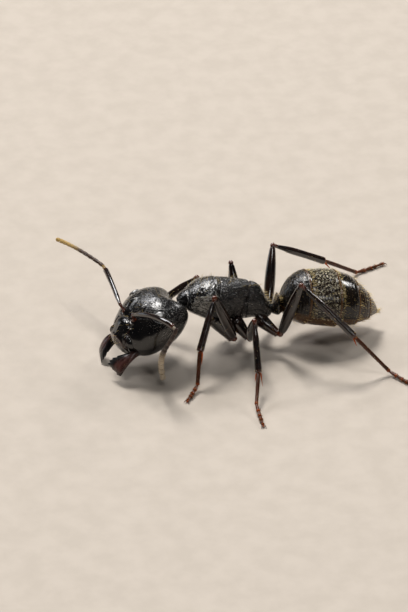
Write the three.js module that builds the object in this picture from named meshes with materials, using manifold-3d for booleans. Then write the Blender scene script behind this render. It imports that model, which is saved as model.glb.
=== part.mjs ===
// Black carpenter ant (Camponotus pennsylvanicus), large worker, life size.
// Millimetres, +Z up. The ant faces -Y, its left side is +X, and its feet stand on z = 0.
// The animal stands with its head low and turned a little to its left, jaws half open.

import * as THREE from 'three';
import Module from 'manifold-3d';
import { mergeVertices } from 'three/addons/utils/BufferGeometryUtils.js';

const wasm = await Module();
wasm.setup();

// ---------------------------------------------------------------- driving sizes
const GAP = 0.03;                  // clearance between neighbouring plates
const ORIGIN_SHIFT = [0.05419, -1.19083, 0];  // puts the origin under the middle of the whole outline
const DEG = Math.PI / 180;

// head: turned left (yaw), face tipped down (pitch), slight lean (roll)
const HEAD_CENTRE = [0.38, -3.90, 2.05];
const HEAD_YAW = 15, HEAD_PITCH = 28, HEAD_ROLL = 4;
// stations along the head, back to mouth: [forward, half width, middle height, half thickness]
const HEAD_STATIONS = [
  [-1.74, 0.00, -0.12, 0.00], [-1.60, 0.98, -0.08, 0.52], [-1.30, 1.38, 0.00, 0.84],
  [-0.80, 1.64, 0.05, 1.07], [-0.25, 1.73, 0.06, 1.15], [0.35, 1.64, 0.03, 1.08],
  [0.90, 1.42, -0.03, 0.92], [1.26, 1.14, -0.03, 0.70], [1.50, 0.84, 0.00, 0.47], [1.67, 0.00, 0.02, 0.00]];
const HEAD_SQUARENESS = 2.35;
const OCCIPUT_NOTCH = 0.16;        // hollow between the two rear lobes
const CLYPEUS_RISE = 0.10, CLYPEUS_HALF_WIDTH = 0.55;
const EYE_PLACE = [1.33, -0.46], EYE_LENGTH = 0.54, EYE_WIDTH = 0.42, EYE_BULGE = 0.08;
const SOCKET_PLACE = [0.50, 0.52];           // antennal sockets, beside the midline
const MANDIBLE_BASE = [1.007, 1.297, -0.272];
const FORAMEN = [0, -1.35, -0.42];

const SCAPE_LENGTH = 3.25, SCAPE_RADIUS = 0.25;
const FUNICULUS_RADIUS = 0.25;

// trunk: from the neck joint down to the waist joint
const TRUNK_FRONT = [0, -1.95, 2.29], TRUNK_REAR = [0, 1.95, 1.55];
const TRUNK_STATIONS = [
  [-2.08, 0.00, 0.16, 0.00], [-1.98, 0.28, 0.18, 0.30], [-1.80, 0.46, 0.24, 0.42], [-1.45, 0.57, 0.43, 0.66],
  [-1.10, 0.62, 0.57, 0.85], [-0.60, 0.68, 0.63, 0.96], [0.00, 0.79, 0.63, 1.00], [0.55, 0.92, 0.64, 0.99],
  [1.05, 1.00, 0.66, 0.92], [1.50, 0.97, 0.68, 0.82], [1.90, 0.78, 0.60, 0.62], [2.18, 0.48, 0.50, 0.36], [2.34, 0.00, 0.46, 0.00]];
const TRUNK_SQUARENESS = 2.1;
const PRONOTUM_REAR = 1.02, MESOTHORAX_REAR = -0.52, SUTURE_SLANT = 0.22;

const PETIOLE_BASE = [0, 2.00, 1.72], PETIOLE_LENGTH = 0.62, SCALE_HEIGHT = 0.92, SCALE_WIDTH = 0.80;

// gaster: axis from the waist to the tip, five plates
const GASTER_FRONT = [0, 2.46, 2.22], GASTER_TIP = [0.02, 7.22, 1.40];
const GASTER_STATIONS = [
  [0.00, 0.00, -0.14, 0.00], [0.03, 0.60, -0.06, 0.64], [0.10, 1.02, 0.04, 1.02], [0.22, 1.33, 0.11, 1.23],
  [0.36, 1.47, 0.11, 1.29], [0.50, 1.50, 0.10, 1.28], [0.64, 1.40, 0.04, 1.18], [0.76, 1.17, -0.09, 0.98],
  [0.87, 0.84, -0.22, 0.64], [0.95, 0.46, -0.36, 0.36], [1.00, 0.00, -0.52, 0.00]];
const GASTER_SQUARENESS = 2.05;
const GASTER_CUTS = [0, 0.235, 0.53, 0.74, 0.88, 1];
const PLATE_STEP = 0.035;          // each plate's rear edge stands this far over the next

// legs: lengths by pair, radii of the middle of each length
const LEG_SIZES = {
  fore: { coxa: 1.45, femur: 2.84, tibia: 2.56, basitarsus: 1.53, tarsus: 1.10, coxaRadius: 0.48 },
  mid: { coxa: 1.05, femur: 2.66, tibia: 2.37, basitarsus: 1.72, tarsus: 1.40, coxaRadius: 0.40 },
  hind: { coxa: 1.20, femur: 3.26, tibia: 3.38, basitarsus: 2.46, tarsus: 1.55, coxaRadius: 0.38 } };
const FEMUR_RADIUS = 0.29, TIBIA_RADIUS = 0.25, TARSUS_RADIUS = 0.25;
const FOOT_LEVEL = 0.21;           // height of the middle of a foot that stands on z = 0
// pose: hip point on the trunk's left half, then [bearing outward from straight ahead, angle above level]
const LEG_POSES = {
  fore_leg_l: { hip: [0.42, -0.76, 1.90], coxa: [150, -47], femur: [17, 67], tibia: [54, -46], basitarsus: [68, -60], tarsus: 52 },
  fore_leg_r: { hip: [0.42, -0.69, 1.87], coxa: [156, -55], femur: [19, 62], tibia: [27, -42], basitarsus: [58, -46], tarsus: 46 },
  mid_leg_l: { hip: [0.50, 0.25, 1.56], coxa: [140, -46], femur: [81, 50], tibia: [83, -49], basitarsus: [72, -25], tarsus: 88 },
  mid_leg_r: { hip: [0.50, 0.25, 1.56], coxa: [142, -47], femur: [85, 60], tibia: [118, -82], basitarsus: [78, -17], tarsus: 70 },
  hind_leg_l: { hip: [0.46, 1.40, 1.52], coxa: [135, -27], femur: [132, 70], tibia: [139, -36], basitarsus: [167, -49], tarsus: 120 },
  hind_leg_r: { hip: [0.43, 1.40, 1.54], coxa: [140, -36], femur: [111, 47.5], tibia: [162, -31], basitarsus: [156, -34], tarsus: 160 } };

const COLOURS = {
  black: { color: 0x0d0c0d, roughness: 0.34, metalness: 0 }, eye: { color: 0x0a0806, roughness: 0.22, metalness: 0 },
  jaw: { color: 0x2a0d07, roughness: 0.3, metalness: 0 }, feeler: { color: 0x3a1d10, roughness: 0.42, metalness: 0 },
  foot: { color: 0x7a2410, roughness: 0.45, metalness: 0 }, gaster: { color: 0x141110, roughness: 0.42, metalness: 0 } };

// ---------------------------------------------------------------- small maths
const vec = (a) => new THREE.Vector3(...a);
const clamp = (x, a, b) => Math.min(b, Math.max(a, x));
const bump = (x) => Math.exp(-x * x);
const smooth = (a, b, x) => { const t = clamp((x - a) / (b - a), 0, 1); return t * t * (3 - 2 * t); };

// monotone cubic through [x, y] pairs
function curveThrough(xs, ys) {
  const n = xs.length, h = [], d = [], m = new Array(n).fill(0);
  for (let i = 0; i < n - 1; i++) { h.push(xs[i + 1] - xs[i]); d.push((ys[i + 1] - ys[i]) / h[i]); }
  for (let i = 1; i < n - 1; i++) {
    if (d[i - 1] * d[i] > 0) {
      const a = 2 * h[i] + h[i - 1], b = h[i] + 2 * h[i - 1];
      m[i] = (a + b) / (a / d[i - 1] + b / d[i]);
    }
  }
  const end = (h0, h1, d0, d1) => {
    let s = ((2 * h0 + h1) * d0 - h0 * d1) / (h0 + h1);
    if (s * d0 <= 0) s = 0; else if (d0 * d1 <= 0 && Math.abs(s) > 3 * Math.abs(d0)) s = 3 * d0;
    return s;
  };
  m[0] = end(h[0], h[1], d[0], d[1]);
  m[n - 1] = end(h[n - 2], h[n - 3], d[n - 2], d[n - 3]);
  return (x) => {
    const q = clamp(x, xs[0], xs[n - 1]);
    let i = 0;
    while (i < n - 2 && q > xs[i + 1]) i++;
    const t = (q - xs[i]) / h[i], t2 = t * t, t3 = t2 * t;
    return ys[i] * (2 * t3 - 3 * t2 + 1) + m[i] * h[i] * (t3 - 2 * t2 + t) + ys[i + 1] * (3 * t2 - 2 * t3) + m[i + 1] * h[i] * (t3 - t2);
  };
}

// half width, middle and half height along a body, rounded at its poles
function bodyProfile(rows) {
  const s = rows.map((r) => r[0]);
  const w2 = curveThrough(s, rows.map((r) => r[1] ** 2)), mid = curveThrough(s, rows.map((r) => r[2]));
  const h2 = curveThrough(s, rows.map((r) => r[3] ** 2));
  return { lo: s[0], hi: s[s.length - 1], w: (x) => Math.sqrt(Math.max(0, w2(x))), m: mid, h: (x) => Math.sqrt(Math.max(0, h2(x))) };
}

// ---------------------------------------------------------------- geometry to solid and back
function bare(geometry) {
  const g = geometry.index ? geometry.toNonIndexed() : geometry.clone();
  const out = new THREE.BufferGeometry();
  out.setAttribute('position', g.getAttribute('position'));
  return mergeVertices(out, 1e-5);
}
function dropThin(g) {
  const idx = g.index.array, keep = [];
  for (let i = 0; i < idx.length; i += 3) {
    const [a, b, c] = [idx[i], idx[i + 1], idx[i + 2]];
    if (a !== b && b !== c && a !== c) keep.push(a, b, c);
  }
  g.setIndex(keep);
  return g;
}
function outward(g) {
  const p = g.getAttribute('position'), idx = g.index.array;
  let v = 0;
  const a = new THREE.Vector3(), b = new THREE.Vector3(), c = new THREE.Vector3();
  for (let i = 0; i < idx.length; i += 3) {
    a.fromBufferAttribute(p, idx[i]); b.fromBufferAttribute(p, idx[i + 1]); c.fromBufferAttribute(p, idx[i + 2]);
    v += a.dot(b.cross(c));
  }
  if (v < 0) for (let i = 0; i < idx.length; i += 3) { const t = idx[i]; idx[i] = idx[i + 1]; idx[i + 1] = t; }
  return g;
}
function toSolid(geometry) {
  const g = outward(dropThin(bare(geometry)));
  return new wasm.Manifold(new wasm.Mesh({ numProp: 3, vertProperties: new Float32Array(g.getAttribute('position').array), triVerts: new Uint32Array(g.index.array) }));
}
function toGeometry(solid) {
  const parts = solid.decompose();
  let best = parts[0];
  for (const q of parts) if (q.volume() > best.volume()) best = q;
  const m = best.getMesh(), g = new THREE.BufferGeometry();
  g.setAttribute('position', new THREE.BufferAttribute(new Float32Array(m.vertProperties), 3));
  g.setIndex([...m.triVerts]);
  return g;
}
const cutFrom = (geometry, ...tools) => {
  let s = toSolid(geometry), touched = false;
  for (const t of tools) {
    const tool = toSolid(t);
    if (s.intersect(tool).volume() > 1e-7) { s = s.subtract(tool); touched = true; }
  }
  return touched ? toGeometry(s) : geometry;
};

// a lathe of unit radius with rings at the given places, ends closed on the axis
function ringStock(places, around) {
  const pts = [new THREE.Vector2(0, places[0]), ...places.map((s) => new THREE.Vector2(1, s)), new THREE.Vector2(0, places[places.length - 1])];
  return new THREE.LatheGeometry(pts, around);
}
// move every vertex: fn(across, along, upward) -> Vector3, with across and upward on the unit circle or 0
function reshape(geometry, fn) {
  const p = geometry.getAttribute('position');
  for (let i = 0; i < p.count; i++) {
    const q = fn(p.getX(i), p.getY(i), p.getZ(i));
    p.setXYZ(i, q.x, q.y, q.z);
  }
  return outward(dropThin(bare(geometry)));
}
const placesBetween = (a, b, n, roundA, roundB) => Array.from({ length: n + 1 }, (_, i) => {
  let t = i / n;
  if (roundA && roundB) t = (1 - Math.cos(Math.PI * (0.06 + 0.88 * t))) / 2, t = (t - (1 - Math.cos(Math.PI * 0.06)) / 2) / Math.cos(Math.PI * 0.06);
  else if (roundA) t = 1 - Math.cos(Math.PI / 2 * (0.07 + 0.93 * t)), t = (t - (1 - Math.cos(Math.PI / 2 * 0.07))) / Math.cos(Math.PI / 2 * 0.07);
  else if (roundB) t = Math.sin(Math.PI / 2 * 0.93 * t) / Math.sin(Math.PI / 2 * 0.93);
  return a + (b - a) * t;
});

// a body swelling round an axis. frame: origin, left, along, up. Range lo..hi of the profile; grow fattens it.
function body({ profile, square, frame, lo = profile.lo, hi = profile.hi, rings = 12, around = 20, grow = 0, shift = null, widen = null }) {
  const openLo = lo > profile.lo + 1e-6, openHi = hi < profile.hi - 1e-6;
  const a = openLo ? lo : profile.lo + 0.004 * (profile.hi - profile.lo), b = openHi ? hi : profile.hi - 0.004 * (profile.hi - profile.lo);
  const stock = ringStock(placesBetween(a, b, rings, !openLo, !openHi), around);
  return reshape(stock, (x, s, z) => {
    const r = Math.hypot(x, z), k = r < 1e-6 ? 0 : (Math.abs(x / r) ** square + Math.abs(z / r) ** square) ** (-1 / square) / r;
    const extra = widen ? widen(s) : 0;
    let l = (profile.w(s) + grow + extra) * x * k, u = profile.m(s) + (profile.h(s) + grow + extra) * z * k, f = s;
    if (r < 1e-6) { f += (s < (lo + hi) / 2 ? -1 : 1) * (openLo && s < (lo + hi) / 2 ? 0 : openHi && s > (lo + hi) / 2 ? 0 : 0.004 * (profile.hi - profile.lo) + grow); }
    if (shift) [l, f, u] = shift(l, f, u);
    return frame.origin.clone().addScaledVector(frame.left, l).addScaledVector(frame.along, f).addScaledVector(frame.up, u);
  });
}

// a limb along a curve: radius(t) with optional flattening and a side-to-side direction
function limb({ curve, radius, rings = 8, around = 10, flat = 1, side = new THREE.Vector3(1, 0, 0), from = 0, to = 1, grow = 0, floor = null, phase = 0 }) {
  const stock = ringStock(Array.from({ length: rings + 1 }, (_, i) => i / rings), around);
  return reshape(stock, (x, s, z) => {
    const t = from + (to - from) * s, c = curve.getPoint(clamp(t, 0, 1)), d = curve.getTangent(clamp(t, 0.001, 0.999)).normalize();
    const b = side.clone().addScaledVector(d, -side.dot(d)).normalize(), n = new THREE.Vector3().crossVectors(d, b);
    const r = radius(s) + grow, u = x * Math.cos(phase) - z * Math.sin(phase), w = x * Math.sin(phase) + z * Math.cos(phase);
    const q = c.addScaledVector(b, u * r * flat).addScaledVector(n, w * r);
    if (floor !== null && q.z < floor) q.z = floor;
    return q;
  });
}
const meshes = [];
function add(name, geometry, look) {
  const m = new THREE.Mesh(geometry, new THREE.MeshStandardMaterial(COLOURS[look]));
  m.name = name;
  m.geometry.computeVertexNormals();
  meshes.push(m);
  return m;
}

// ---------------------------------------------------------------- head
function headFrame() {
  const y = HEAD_YAW * DEG, p = HEAD_PITCH * DEG, r = HEAD_ROLL * DEG;
  const along = new THREE.Vector3(Math.sin(y) * Math.cos(p), -Math.cos(y) * Math.cos(p), -Math.sin(p));
  const l0 = new THREE.Vector3(Math.cos(y), Math.sin(y), 0), d0 = new THREE.Vector3().crossVectors(along, l0).multiplyScalar(1);
  if (d0.z < 0) d0.negate();
  const left = l0.clone().multiplyScalar(Math.cos(r)).addScaledVector(d0, Math.sin(r));
  const up = d0.clone().multiplyScalar(Math.cos(r)).addScaledVector(l0, -Math.sin(r));
  return { origin: vec(HEAD_CENTRE), left, along, up };
}
const HEAD = headFrame();
const headProfile = bodyProfile(HEAD_STATIONS);
const inHead = (l, f, u) => HEAD.origin.clone().addScaledVector(HEAD.left, l).addScaledVector(HEAD.along, f).addScaledVector(HEAD.up, u);
const headTop = (l, f) => headProfile.m(f) + headProfile.h(f) * (Math.max(0, 1 - Math.abs(l / headProfile.w(f)) ** HEAD_SQUARENESS)) ** (1 / HEAD_SQUARENESS);
const headShift = (l, f, u) => {
  const back = smooth(-0.9, -1.74, f), front = smooth(0.35, 1.3, f), top = smooth(-0.1, 0.5, u);
  f += OCCIPUT_NOTCH * back * bump(l / 0.62) - 0.10 * back * bump((Math.abs(l) - 1.0) / 0.4);
  u += CLYPEUS_RISE * front * top * bump(l / CLYPEUS_HALF_WIDTH);
  f += 0.10 * smooth(1.2, 1.7, f) * bump(l / 0.6);
  u -= 0.06 * top * bump((Math.abs(l) - SOCKET_PLACE[0]) / 0.16) * bump((f - SOCKET_PLACE[1]) / 0.22);
  return [l, f, u];
};
const headSolid = (grow, rings, around) => body({ profile: headProfile, square: HEAD_SQUARENESS, frame: HEAD, rings, around, grow, shift: headShift });

function eyeSolid(side, grow) {
  const [l, f] = EYE_PLACE, u = headTop(l, f), e = 0.02;
  const du = (headTop(l + e, f) - headTop(l - e, f)) / (2 * e), df = (headTop(l, f + e) - headTop(l, f - e)) / (2 * e);
  const n = new THREE.Vector3(-du, -df, 1).normalize(), along = new THREE.Vector3(-0.12, 1, 0).addScaledVector(n, -new THREE.Vector3(-0.12, 1, 0).dot(n)).normalize();
  const across = new THREE.Vector3().crossVectors(along, n);
  const g = new THREE.SphereGeometry(1, 12, 8);
  return reshape(g, (x, y, z) => {
    const q = new THREE.Vector3(l, f, u).addScaledVector(along, y * (EYE_LENGTH / 2 + grow)).addScaledVector(across, x * (EYE_WIDTH / 2 + grow)).addScaledVector(n, z * (EYE_BULGE + grow) + 0.01);
    return inHead(side * q.x, q.y, q.z);
  });
}

// mandible: a curved blade, broad at its toothed end. Opened outward by turn, dropped by drop
const MANDIBLES = { l: { side: 1, turn: 18.5, drop: 15.8, tilt: -9.2 }, r: { side: -1, turn: 46.3, drop: 17.7, tilt: 16.8 } };
const MANDIBLE_LENGTH = 1.507, MANDIBLE_WIDTH = 1.037, MANDIBLE_THICKNESS = 0.28, MANDIBLE_TEETH = 5;
const MANDIBLE_CURL = 0.43, MANDIBLE_ARCH = 0.213;
function mandible({ side, turn, drop, tilt }) {
  const base = new THREE.Vector3(...MANDIBLE_BASE), a = turn * DEG, d = drop * DEG;
  const out = new THREE.Vector3(Math.sin(a) * Math.cos(d), Math.cos(a) * Math.cos(d), -Math.sin(d));
  const level = new THREE.Vector3(-Math.cos(a), Math.sin(a), 0), over = new THREE.Vector3().crossVectors(level, out).normalize();
  if (over.z < 0) over.negate();
  const inward = level.clone().multiplyScalar(Math.cos(tilt * DEG)).addScaledVector(over, -Math.sin(tilt * DEG));
  const face = over.clone().multiplyScalar(Math.cos(tilt * DEG)).addScaledVector(level, Math.sin(tilt * DEG));
  const stock = ringStock(Array.from({ length: 12 }, (_, i) => i / 11), 12);
  return reshape(stock, (x, s, z) => {
    const bend = MANDIBLE_CURL * s * s;                                         // outer edge curves inward towards the tip
    const wide = MANDIBLE_WIDTH * (0.42 + 0.62 * smooth(0.1, 0.62, s)) * (1 - 0.714 * smooth(0.733, 1, s));
    const thick = MANDIBLE_THICKNESS * (1.25 - 0.75 * s) * (0.35 + 0.65 * smooth(0, 0.08, s)) * (1 - 0.3 * smooth(0.9, 1, s));
    const inner = x > 0 ? 1 : 0, teeth = inner * smooth(0.42, 0.55, s) * 0.07 * Math.cos((s - 0.42) / 0.58 * MANDIBLE_TEETH * 2 * Math.PI);
    const across = bend + wide / 2 - 0.12 + (wide / 2 + teeth) * x;
    const q = base.clone().addScaledVector(out, s * MANDIBLE_LENGTH - 0.14 - 0.25 * bend)
      .addScaledVector(inward, across).addScaledVector(face, z * thick / 2).addScaledVector(over, MANDIBLE_ARCH * Math.sin(Math.PI * s));
    return inHead(side * q.x, q.y, q.z);
  });
}

// antennae: elbow and tip places in the world
const ANTENNAE = {
  l: { side: 1, elbow: [2.62, 1.24, 0.76], tip: [2.52, -3.69, 0.26], bow: 0.55, sags: [[0.11, -0.30, -0.30], [-0.46, -0.37, 0.61]] },
  r: { side: -1, elbow: [-3.05, 0.02, 0.10], tip: [-7.15, -6.52, 2.62], bow: 0.16, sags: [[-0.10, -0.10, 0.22], [-0.08, -0.08, 0.176]] } };

const add3 = (a, b) => [a[0] + b[0], a[1] + b[1], a[2] + b[2]];
function antenna(key) {
  const { side, elbow, tip, bow, sags } = ANTENNAE[key];
  const [l, f] = SOCKET_PLACE, s0 = inHead(side * (l + 0.02), f, headTop(l, f) + 0.30);
  const dir = vec(elbow).normalize(), e = s0.clone().addScaledVector(dir, SCAPE_LENGTH);
  const scape = new THREE.QuadraticBezierCurve3(s0, s0.clone().lerp(e, 0.5).add(new THREE.Vector3(0, 0, bow)), e);
  const t = vec(tip), k = e.clone().addScaledVector(dir, 0.20);
  const fun = new THREE.CubicBezierCurve3(k, k.clone().lerp(t, 0.30).add(vec(sags[0])), k.clone().lerp(t, 0.72).add(vec(sags[1])), t);
  return { scape, fun };
}

// ---------------------------------------------------------------- trunk
function axisFrame(front, rear, forward = true) {
  const a = vec(front), b = vec(rear), along = a.clone().sub(b).normalize().multiplyScalar(forward ? 1 : -1);
  const left = new THREE.Vector3(1, 0, 0).addScaledVector(along, -along.x).normalize();
  const up = new THREE.Vector3().crossVectors(left, along);
  if (up.z < 0) up.negate();
  return { origin: a.clone().lerp(b, 0.5), left, along, up };
}
const TRUNK = axisFrame(TRUNK_FRONT, TRUNK_REAR);
const trunkProfile = bodyProfile(TRUNK_STATIONS);
const trunkShift = (l, f, u) => {
  // sides flatten towards the rear, and the back narrows to a ridge behind the middle
  const rear = smooth(0.4, -1.2, f), high = smooth(0.5, 1.5, u);
  l *= 1 - 0.30 * rear * high;
  return [l, f, u];
};
const trunkBody = (lo, hi, grow, rings, around) => body({
  profile: trunkProfile, square: TRUNK_SQUARENESS, frame: TRUNK, lo, hi, grow, rings, around,
  shift: (l, f, u) => {
    [l, f, u] = trunkShift(l, f, u);
    const slant = SUTURE_SLANT * (u - 0.63) * smooth(2.2, 1.0, f) * smooth(-1.9, -0.6, f);
    return [l, f - slant, u];
  } });

// ---------------------------------------------------------------- gaster
const gasterDir = vec(GASTER_TIP).sub(vec(GASTER_FRONT)), GASTER_LENGTH = gasterDir.length();
const GASTER = (() => {
  const along = gasterDir.clone().normalize(), left = new THREE.Vector3(1, 0, 0).addScaledVector(along, -along.x).normalize();
  const up = new THREE.Vector3().crossVectors(left, along);
  if (up.z < 0) up.negate();
  return { origin: vec(GASTER_FRONT), left, along, up };
})();
const gasterProfile = bodyProfile(GASTER_STATIONS.map(([s, w, m, h]) => [s * GASTER_LENGTH, w, m, h]));
const gasterPlate = (i) => {
  const lo = GASTER_CUTS[i] * GASTER_LENGTH + (i ? GAP / 2 : 0), hi = GASTER_CUTS[i + 1] * GASTER_LENGTH - (i < 4 ? GAP / 2 : 0);
  return body({ profile: gasterProfile, square: GASTER_SQUARENESS, frame: GASTER, lo, hi, rings: i === 0 || i === 4 ? 8 : 5, around: 22,
    widen: (s) => (i < 4 ? PLATE_STEP * smooth(lo, hi, s) - PLATE_STEP / 2 : -PLATE_STEP / 2 * smooth(hi, lo, s)) });
};

// ---------------------------------------------------------------- legs
function heading([bearing, rise], side) {
  const b = bearing * DEG, r = rise * DEG;
  return new THREE.Vector3(side * Math.sin(b) * Math.cos(r), -Math.cos(b) * Math.cos(r), Math.sin(r));
}
function legPoints(name) {
  const pose = LEG_POSES[name], size = LEG_SIZES[name.split('_')[0]], side = name.endsWith('_l') ? 1 : -1;
  const p = [new THREE.Vector3(side * pose.hip[0], pose.hip[1], pose.hip[2])];
  for (const k of ['coxa', 'femur', 'tibia', 'basitarsus']) p.push(p[p.length - 1].clone().addScaledVector(heading(pose[k], side), size[k]));
  const last = p[4], drop = clamp((FOOT_LEVEL - last.z) / size.tarsus, -1, 1);
  p.push(last.clone().addScaledVector(heading([pose.tarsus, Math.asin(drop) / DEG], side), size.tarsus));
  return { p, side, size };
}
const roundEnds = (t, a, b) => Math.sqrt(clamp(1 - (1 - clamp(t / a, 0, 1)) ** 2, 0, 1)) * Math.sqrt(clamp(1 - (1 - clamp((1 - t) / b, 0, 1)) ** 2, 0, 1));
const femurRadius = (t) => FEMUR_RADIUS * (0.70 + 0.30 * Math.sin(Math.PI * clamp(t * 1.1, 0, 1)) ** 0.8) * (0.42 + 0.58 * roundEnds(t, 0.10, 0.09));
const tibiaRadius = (t) => TIBIA_RADIUS * (0.84 + 0.16 * smooth(0, 0.5, t)) * (0.45 + 0.55 * roundEnds(t, 0.10, 0.10));
const tarsusRadius = (t) => TARSUS_RADIUS * (0.5 + 0.5 * roundEnds(t, 0.14, 0.14));
const coxaRadius = (R) => (t) => R * (1.0 - 0.36 * smooth(0.15, 1, t)) * (0.30 + 0.70 * roundEnds(t, 0.22, 0.16));

function straight(a, b, startGap, endGap, bow = 0) {
  const d = b.clone().sub(a).normalize(), p = a.clone().addScaledVector(d, startGap), q = b.clone().addScaledVector(d, -endGap);
  return new THREE.QuadraticBezierCurve3(p, p.clone().lerp(q, 0.5).add(new THREE.Vector3(0, 0, bow)), q);
}

// the foot comes down and lies along the floor
function footCurve(a, b) {
  const d = b.clone().sub(a).normalize(), p = a.clone().addScaledVector(d, 0.03), m = p.clone().lerp(b, 0.42), q = p.clone().lerp(b, 0.70);
  m.z = Math.min(m.z, FOOT_LEVEL + 0.02); q.z = FOOT_LEVEL - 0.02;
  const e = b.clone(); e.z = FOOT_LEVEL - 0.04;
  return new THREE.CatmullRomCurve3([p, m, q, e]);
}

// ---------------------------------------------------------------- build: trunk and waist
const trunkWhole = trunkBody(trunkProfile.lo, trunkProfile.hi, GAP, 14, 16);
add('pronotum', trunkBody(PRONOTUM_REAR + GAP / 2, trunkProfile.hi, 0, 8, 20), 'black');
add('mesothorax', trunkBody(MESOTHORAX_REAR + GAP / 2, PRONOTUM_REAR - GAP / 2, 0, 6, 20), 'black');
add('propodeum', trunkBody(trunkProfile.lo, MESOTHORAX_REAR - GAP / 2, 0, 8, 20), 'black');

// neck: a short tube between the pronotum and the back of the head
const neckA = inHead(...FORAMEN), neckB = TRUNK.origin.clone().addScaledVector(TRUNK.along, 2.05).addScaledVector(TRUNK.up, 0.34);
const neckCurve = new THREE.LineCurve3(neckB, neckA);
const headCut = headSolid(GAP, 14, 26);
add('neck', cutFrom(limb({ curve: neckCurve, radius: (t) => 0.34 - 0.04 * Math.sin(Math.PI * t), rings: 3, around: 10, from: 0, to: 1 }), headCut, trunkBody(PRONOTUM_REAR + GAP / 2, trunkProfile.hi, GAP, 8, 16)), 'black');

// petiole: a node with an upright scale, on a short stalk
const pet = new THREE.CatmullRomCurve3([vec(PETIOLE_BASE), vec(PETIOLE_BASE).add(new THREE.Vector3(0, PETIOLE_LENGTH * 0.5, 0.02)), vec(PETIOLE_BASE).add(new THREE.Vector3(0, PETIOLE_LENGTH, 0.02))]);
const petStock = ringStock(placesBetween(0, 1, 8, true, true), 12);
const petiole = reshape(petStock, (x, s, z) => {
  const c = pet.getPoint(clamp(s, 0, 1)), node = bump((s - 0.5) / 0.26), up = z > 0 ? 0.20 + (SCALE_HEIGHT - 0.34) * node : 0.20 + 0.06 * node;
  const w = 0.18 + (SCALE_WIDTH / 2 - 0.18) * node, ends = 0.5 + 0.5 * roundEnds(s, 0.2, 0.2);
  return new THREE.Vector3(c.x + x * w * ends, c.y, c.z + z * up * ends);
});

// ---------------------------------------------------------------- build: gaster
const gasterParts = GASTER_CUTS.slice(0, 5).map((_, i) => gasterPlate(i));
add('petiole', cutFrom(petiole, trunkWhole, body({ profile: gasterProfile, square: GASTER_SQUARENESS, frame: GASTER, lo: gasterProfile.lo, hi: GASTER_CUTS[1] * GASTER_LENGTH, rings: 8, around: 14, grow: GAP + PLATE_STEP })), 'black');
gasterParts.forEach((g, i) => add(`gaster_plate_${i + 1}`, g, 'gaster'));

// ---------------------------------------------------------------- build: head, eyes, jaws, feelers
const eyes = { l: eyeSolid(1, 0), r: eyeSolid(-1, 0) };
add('head', cutFrom(headSolid(0, 14, 26), eyeSolid(1, GAP), eyeSolid(-1, GAP)), 'black');
add('eye_l', eyes.l, 'eye');
add('eye_r', eyes.r, 'eye');
for (const key of ['l', 'r']) add(`mandible_${key}`, cutFrom(mandible(MANDIBLES[key]), headCut), 'jaw');
for (const key of ['l', 'r']) {
  const { scape, fun } = antenna(key), side = new THREE.Vector3(0, 1, 0);
  const sr = (t) => SCAPE_RADIUS * (0.86 + 0.14 * smooth(0.1, 0.9, t)) * (0.5 + 0.5 * roundEnds(t, 0.07, 0.07));
  add(`scape_${key}`, cutFrom(limb({ curve: scape, radius: sr, rings: 8, around: 8, side, to: 0.97 }), headSolid(GAP, 14, 26)), 'black');
  const fr = (t) => FUNICULUS_RADIUS * (0.5 + 0.5 * roundEnds(t, 0.09, 0.03)), ft = (t) => FUNICULUS_RADIUS * (0.45 + 0.55 * roundEnds(t, 0.03, 0.22));
  add(`funiculus_base_${key}`, limb({ curve: fun, radius: fr, rings: 6, around: 8, side: new THREE.Vector3(1, 0.3, 0), from: 0.06, to: 0.5 }), 'feeler');
  add(`funiculus_tip_${key}`, limb({ curve: fun, radius: ft, rings: 6, around: 8, side: new THREE.Vector3(1, 0.3, 0), from: 0.512, to: 1 }), 'feeler');
}

// ---------------------------------------------------------------- build: legs
for (const name of Object.keys(LEG_POSES)) {
  const { p, side, size } = legPoints(name), across = new THREE.Vector3(0, 1, 0);
  const coxa = (grow) => limb({ curve: straight(p[0], p[1], -0.25, 0.16), radius: coxaRadius(size.coxaRadius), rings: 5, around: 8, flat: 0.92, side: across, grow });
  const femur = (grow) => limb({ curve: straight(p[1], p[2], 0.12, -0.08, 0.05), radius: femurRadius, rings: 7, around: 8, flat: 0.9, side: across, grow });
  const tibia = (grow) => limb({ curve: straight(p[2], p[3], 0.20, 0.02, 0.02), radius: tibiaRadius, rings: 6, around: 8, side: across, grow });
  const basitarsus = (grow) => limb({ curve: straight(p[3], p[4], 0.03, 0.02), radius: tarsusRadius, rings: 4, around: 8, side: across, floor: 0.02, grow });
  add(`${name}_coxa`, cutFrom(coxa(0), trunkWhole), 'black');
  add(`${name}_femur`, cutFrom(femur(0), trunkWhole, coxa(GAP)), 'black');
  add(`${name}_tibia`, cutFrom(tibia(0), femur(GAP)), 'black');
  add(`${name}_basitarsus`, cutFrom(basitarsus(0), tibia(GAP)), 'foot');
  add(`${name}_tarsus`, cutFrom(limb({ curve: footCurve(p[4], p[5]), radius: tarsusRadius, rings: 5, around: 8, side: new THREE.Vector3().crossVectors(p[5].clone().sub(p[4]), new THREE.Vector3(0, 0, 1)).normalize(), floor: 0, phase: Math.PI / 8 }), basitarsus(GAP)), 'foot');
}

const ant = new THREE.Group();
for (const m of meshes) ant.add(m);
ant.position.set(...ORIGIN_SHIFT);
export default ant;
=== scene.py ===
import math

import bpy
import numpy as np
from mathutils import Matrix, Vector


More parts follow.
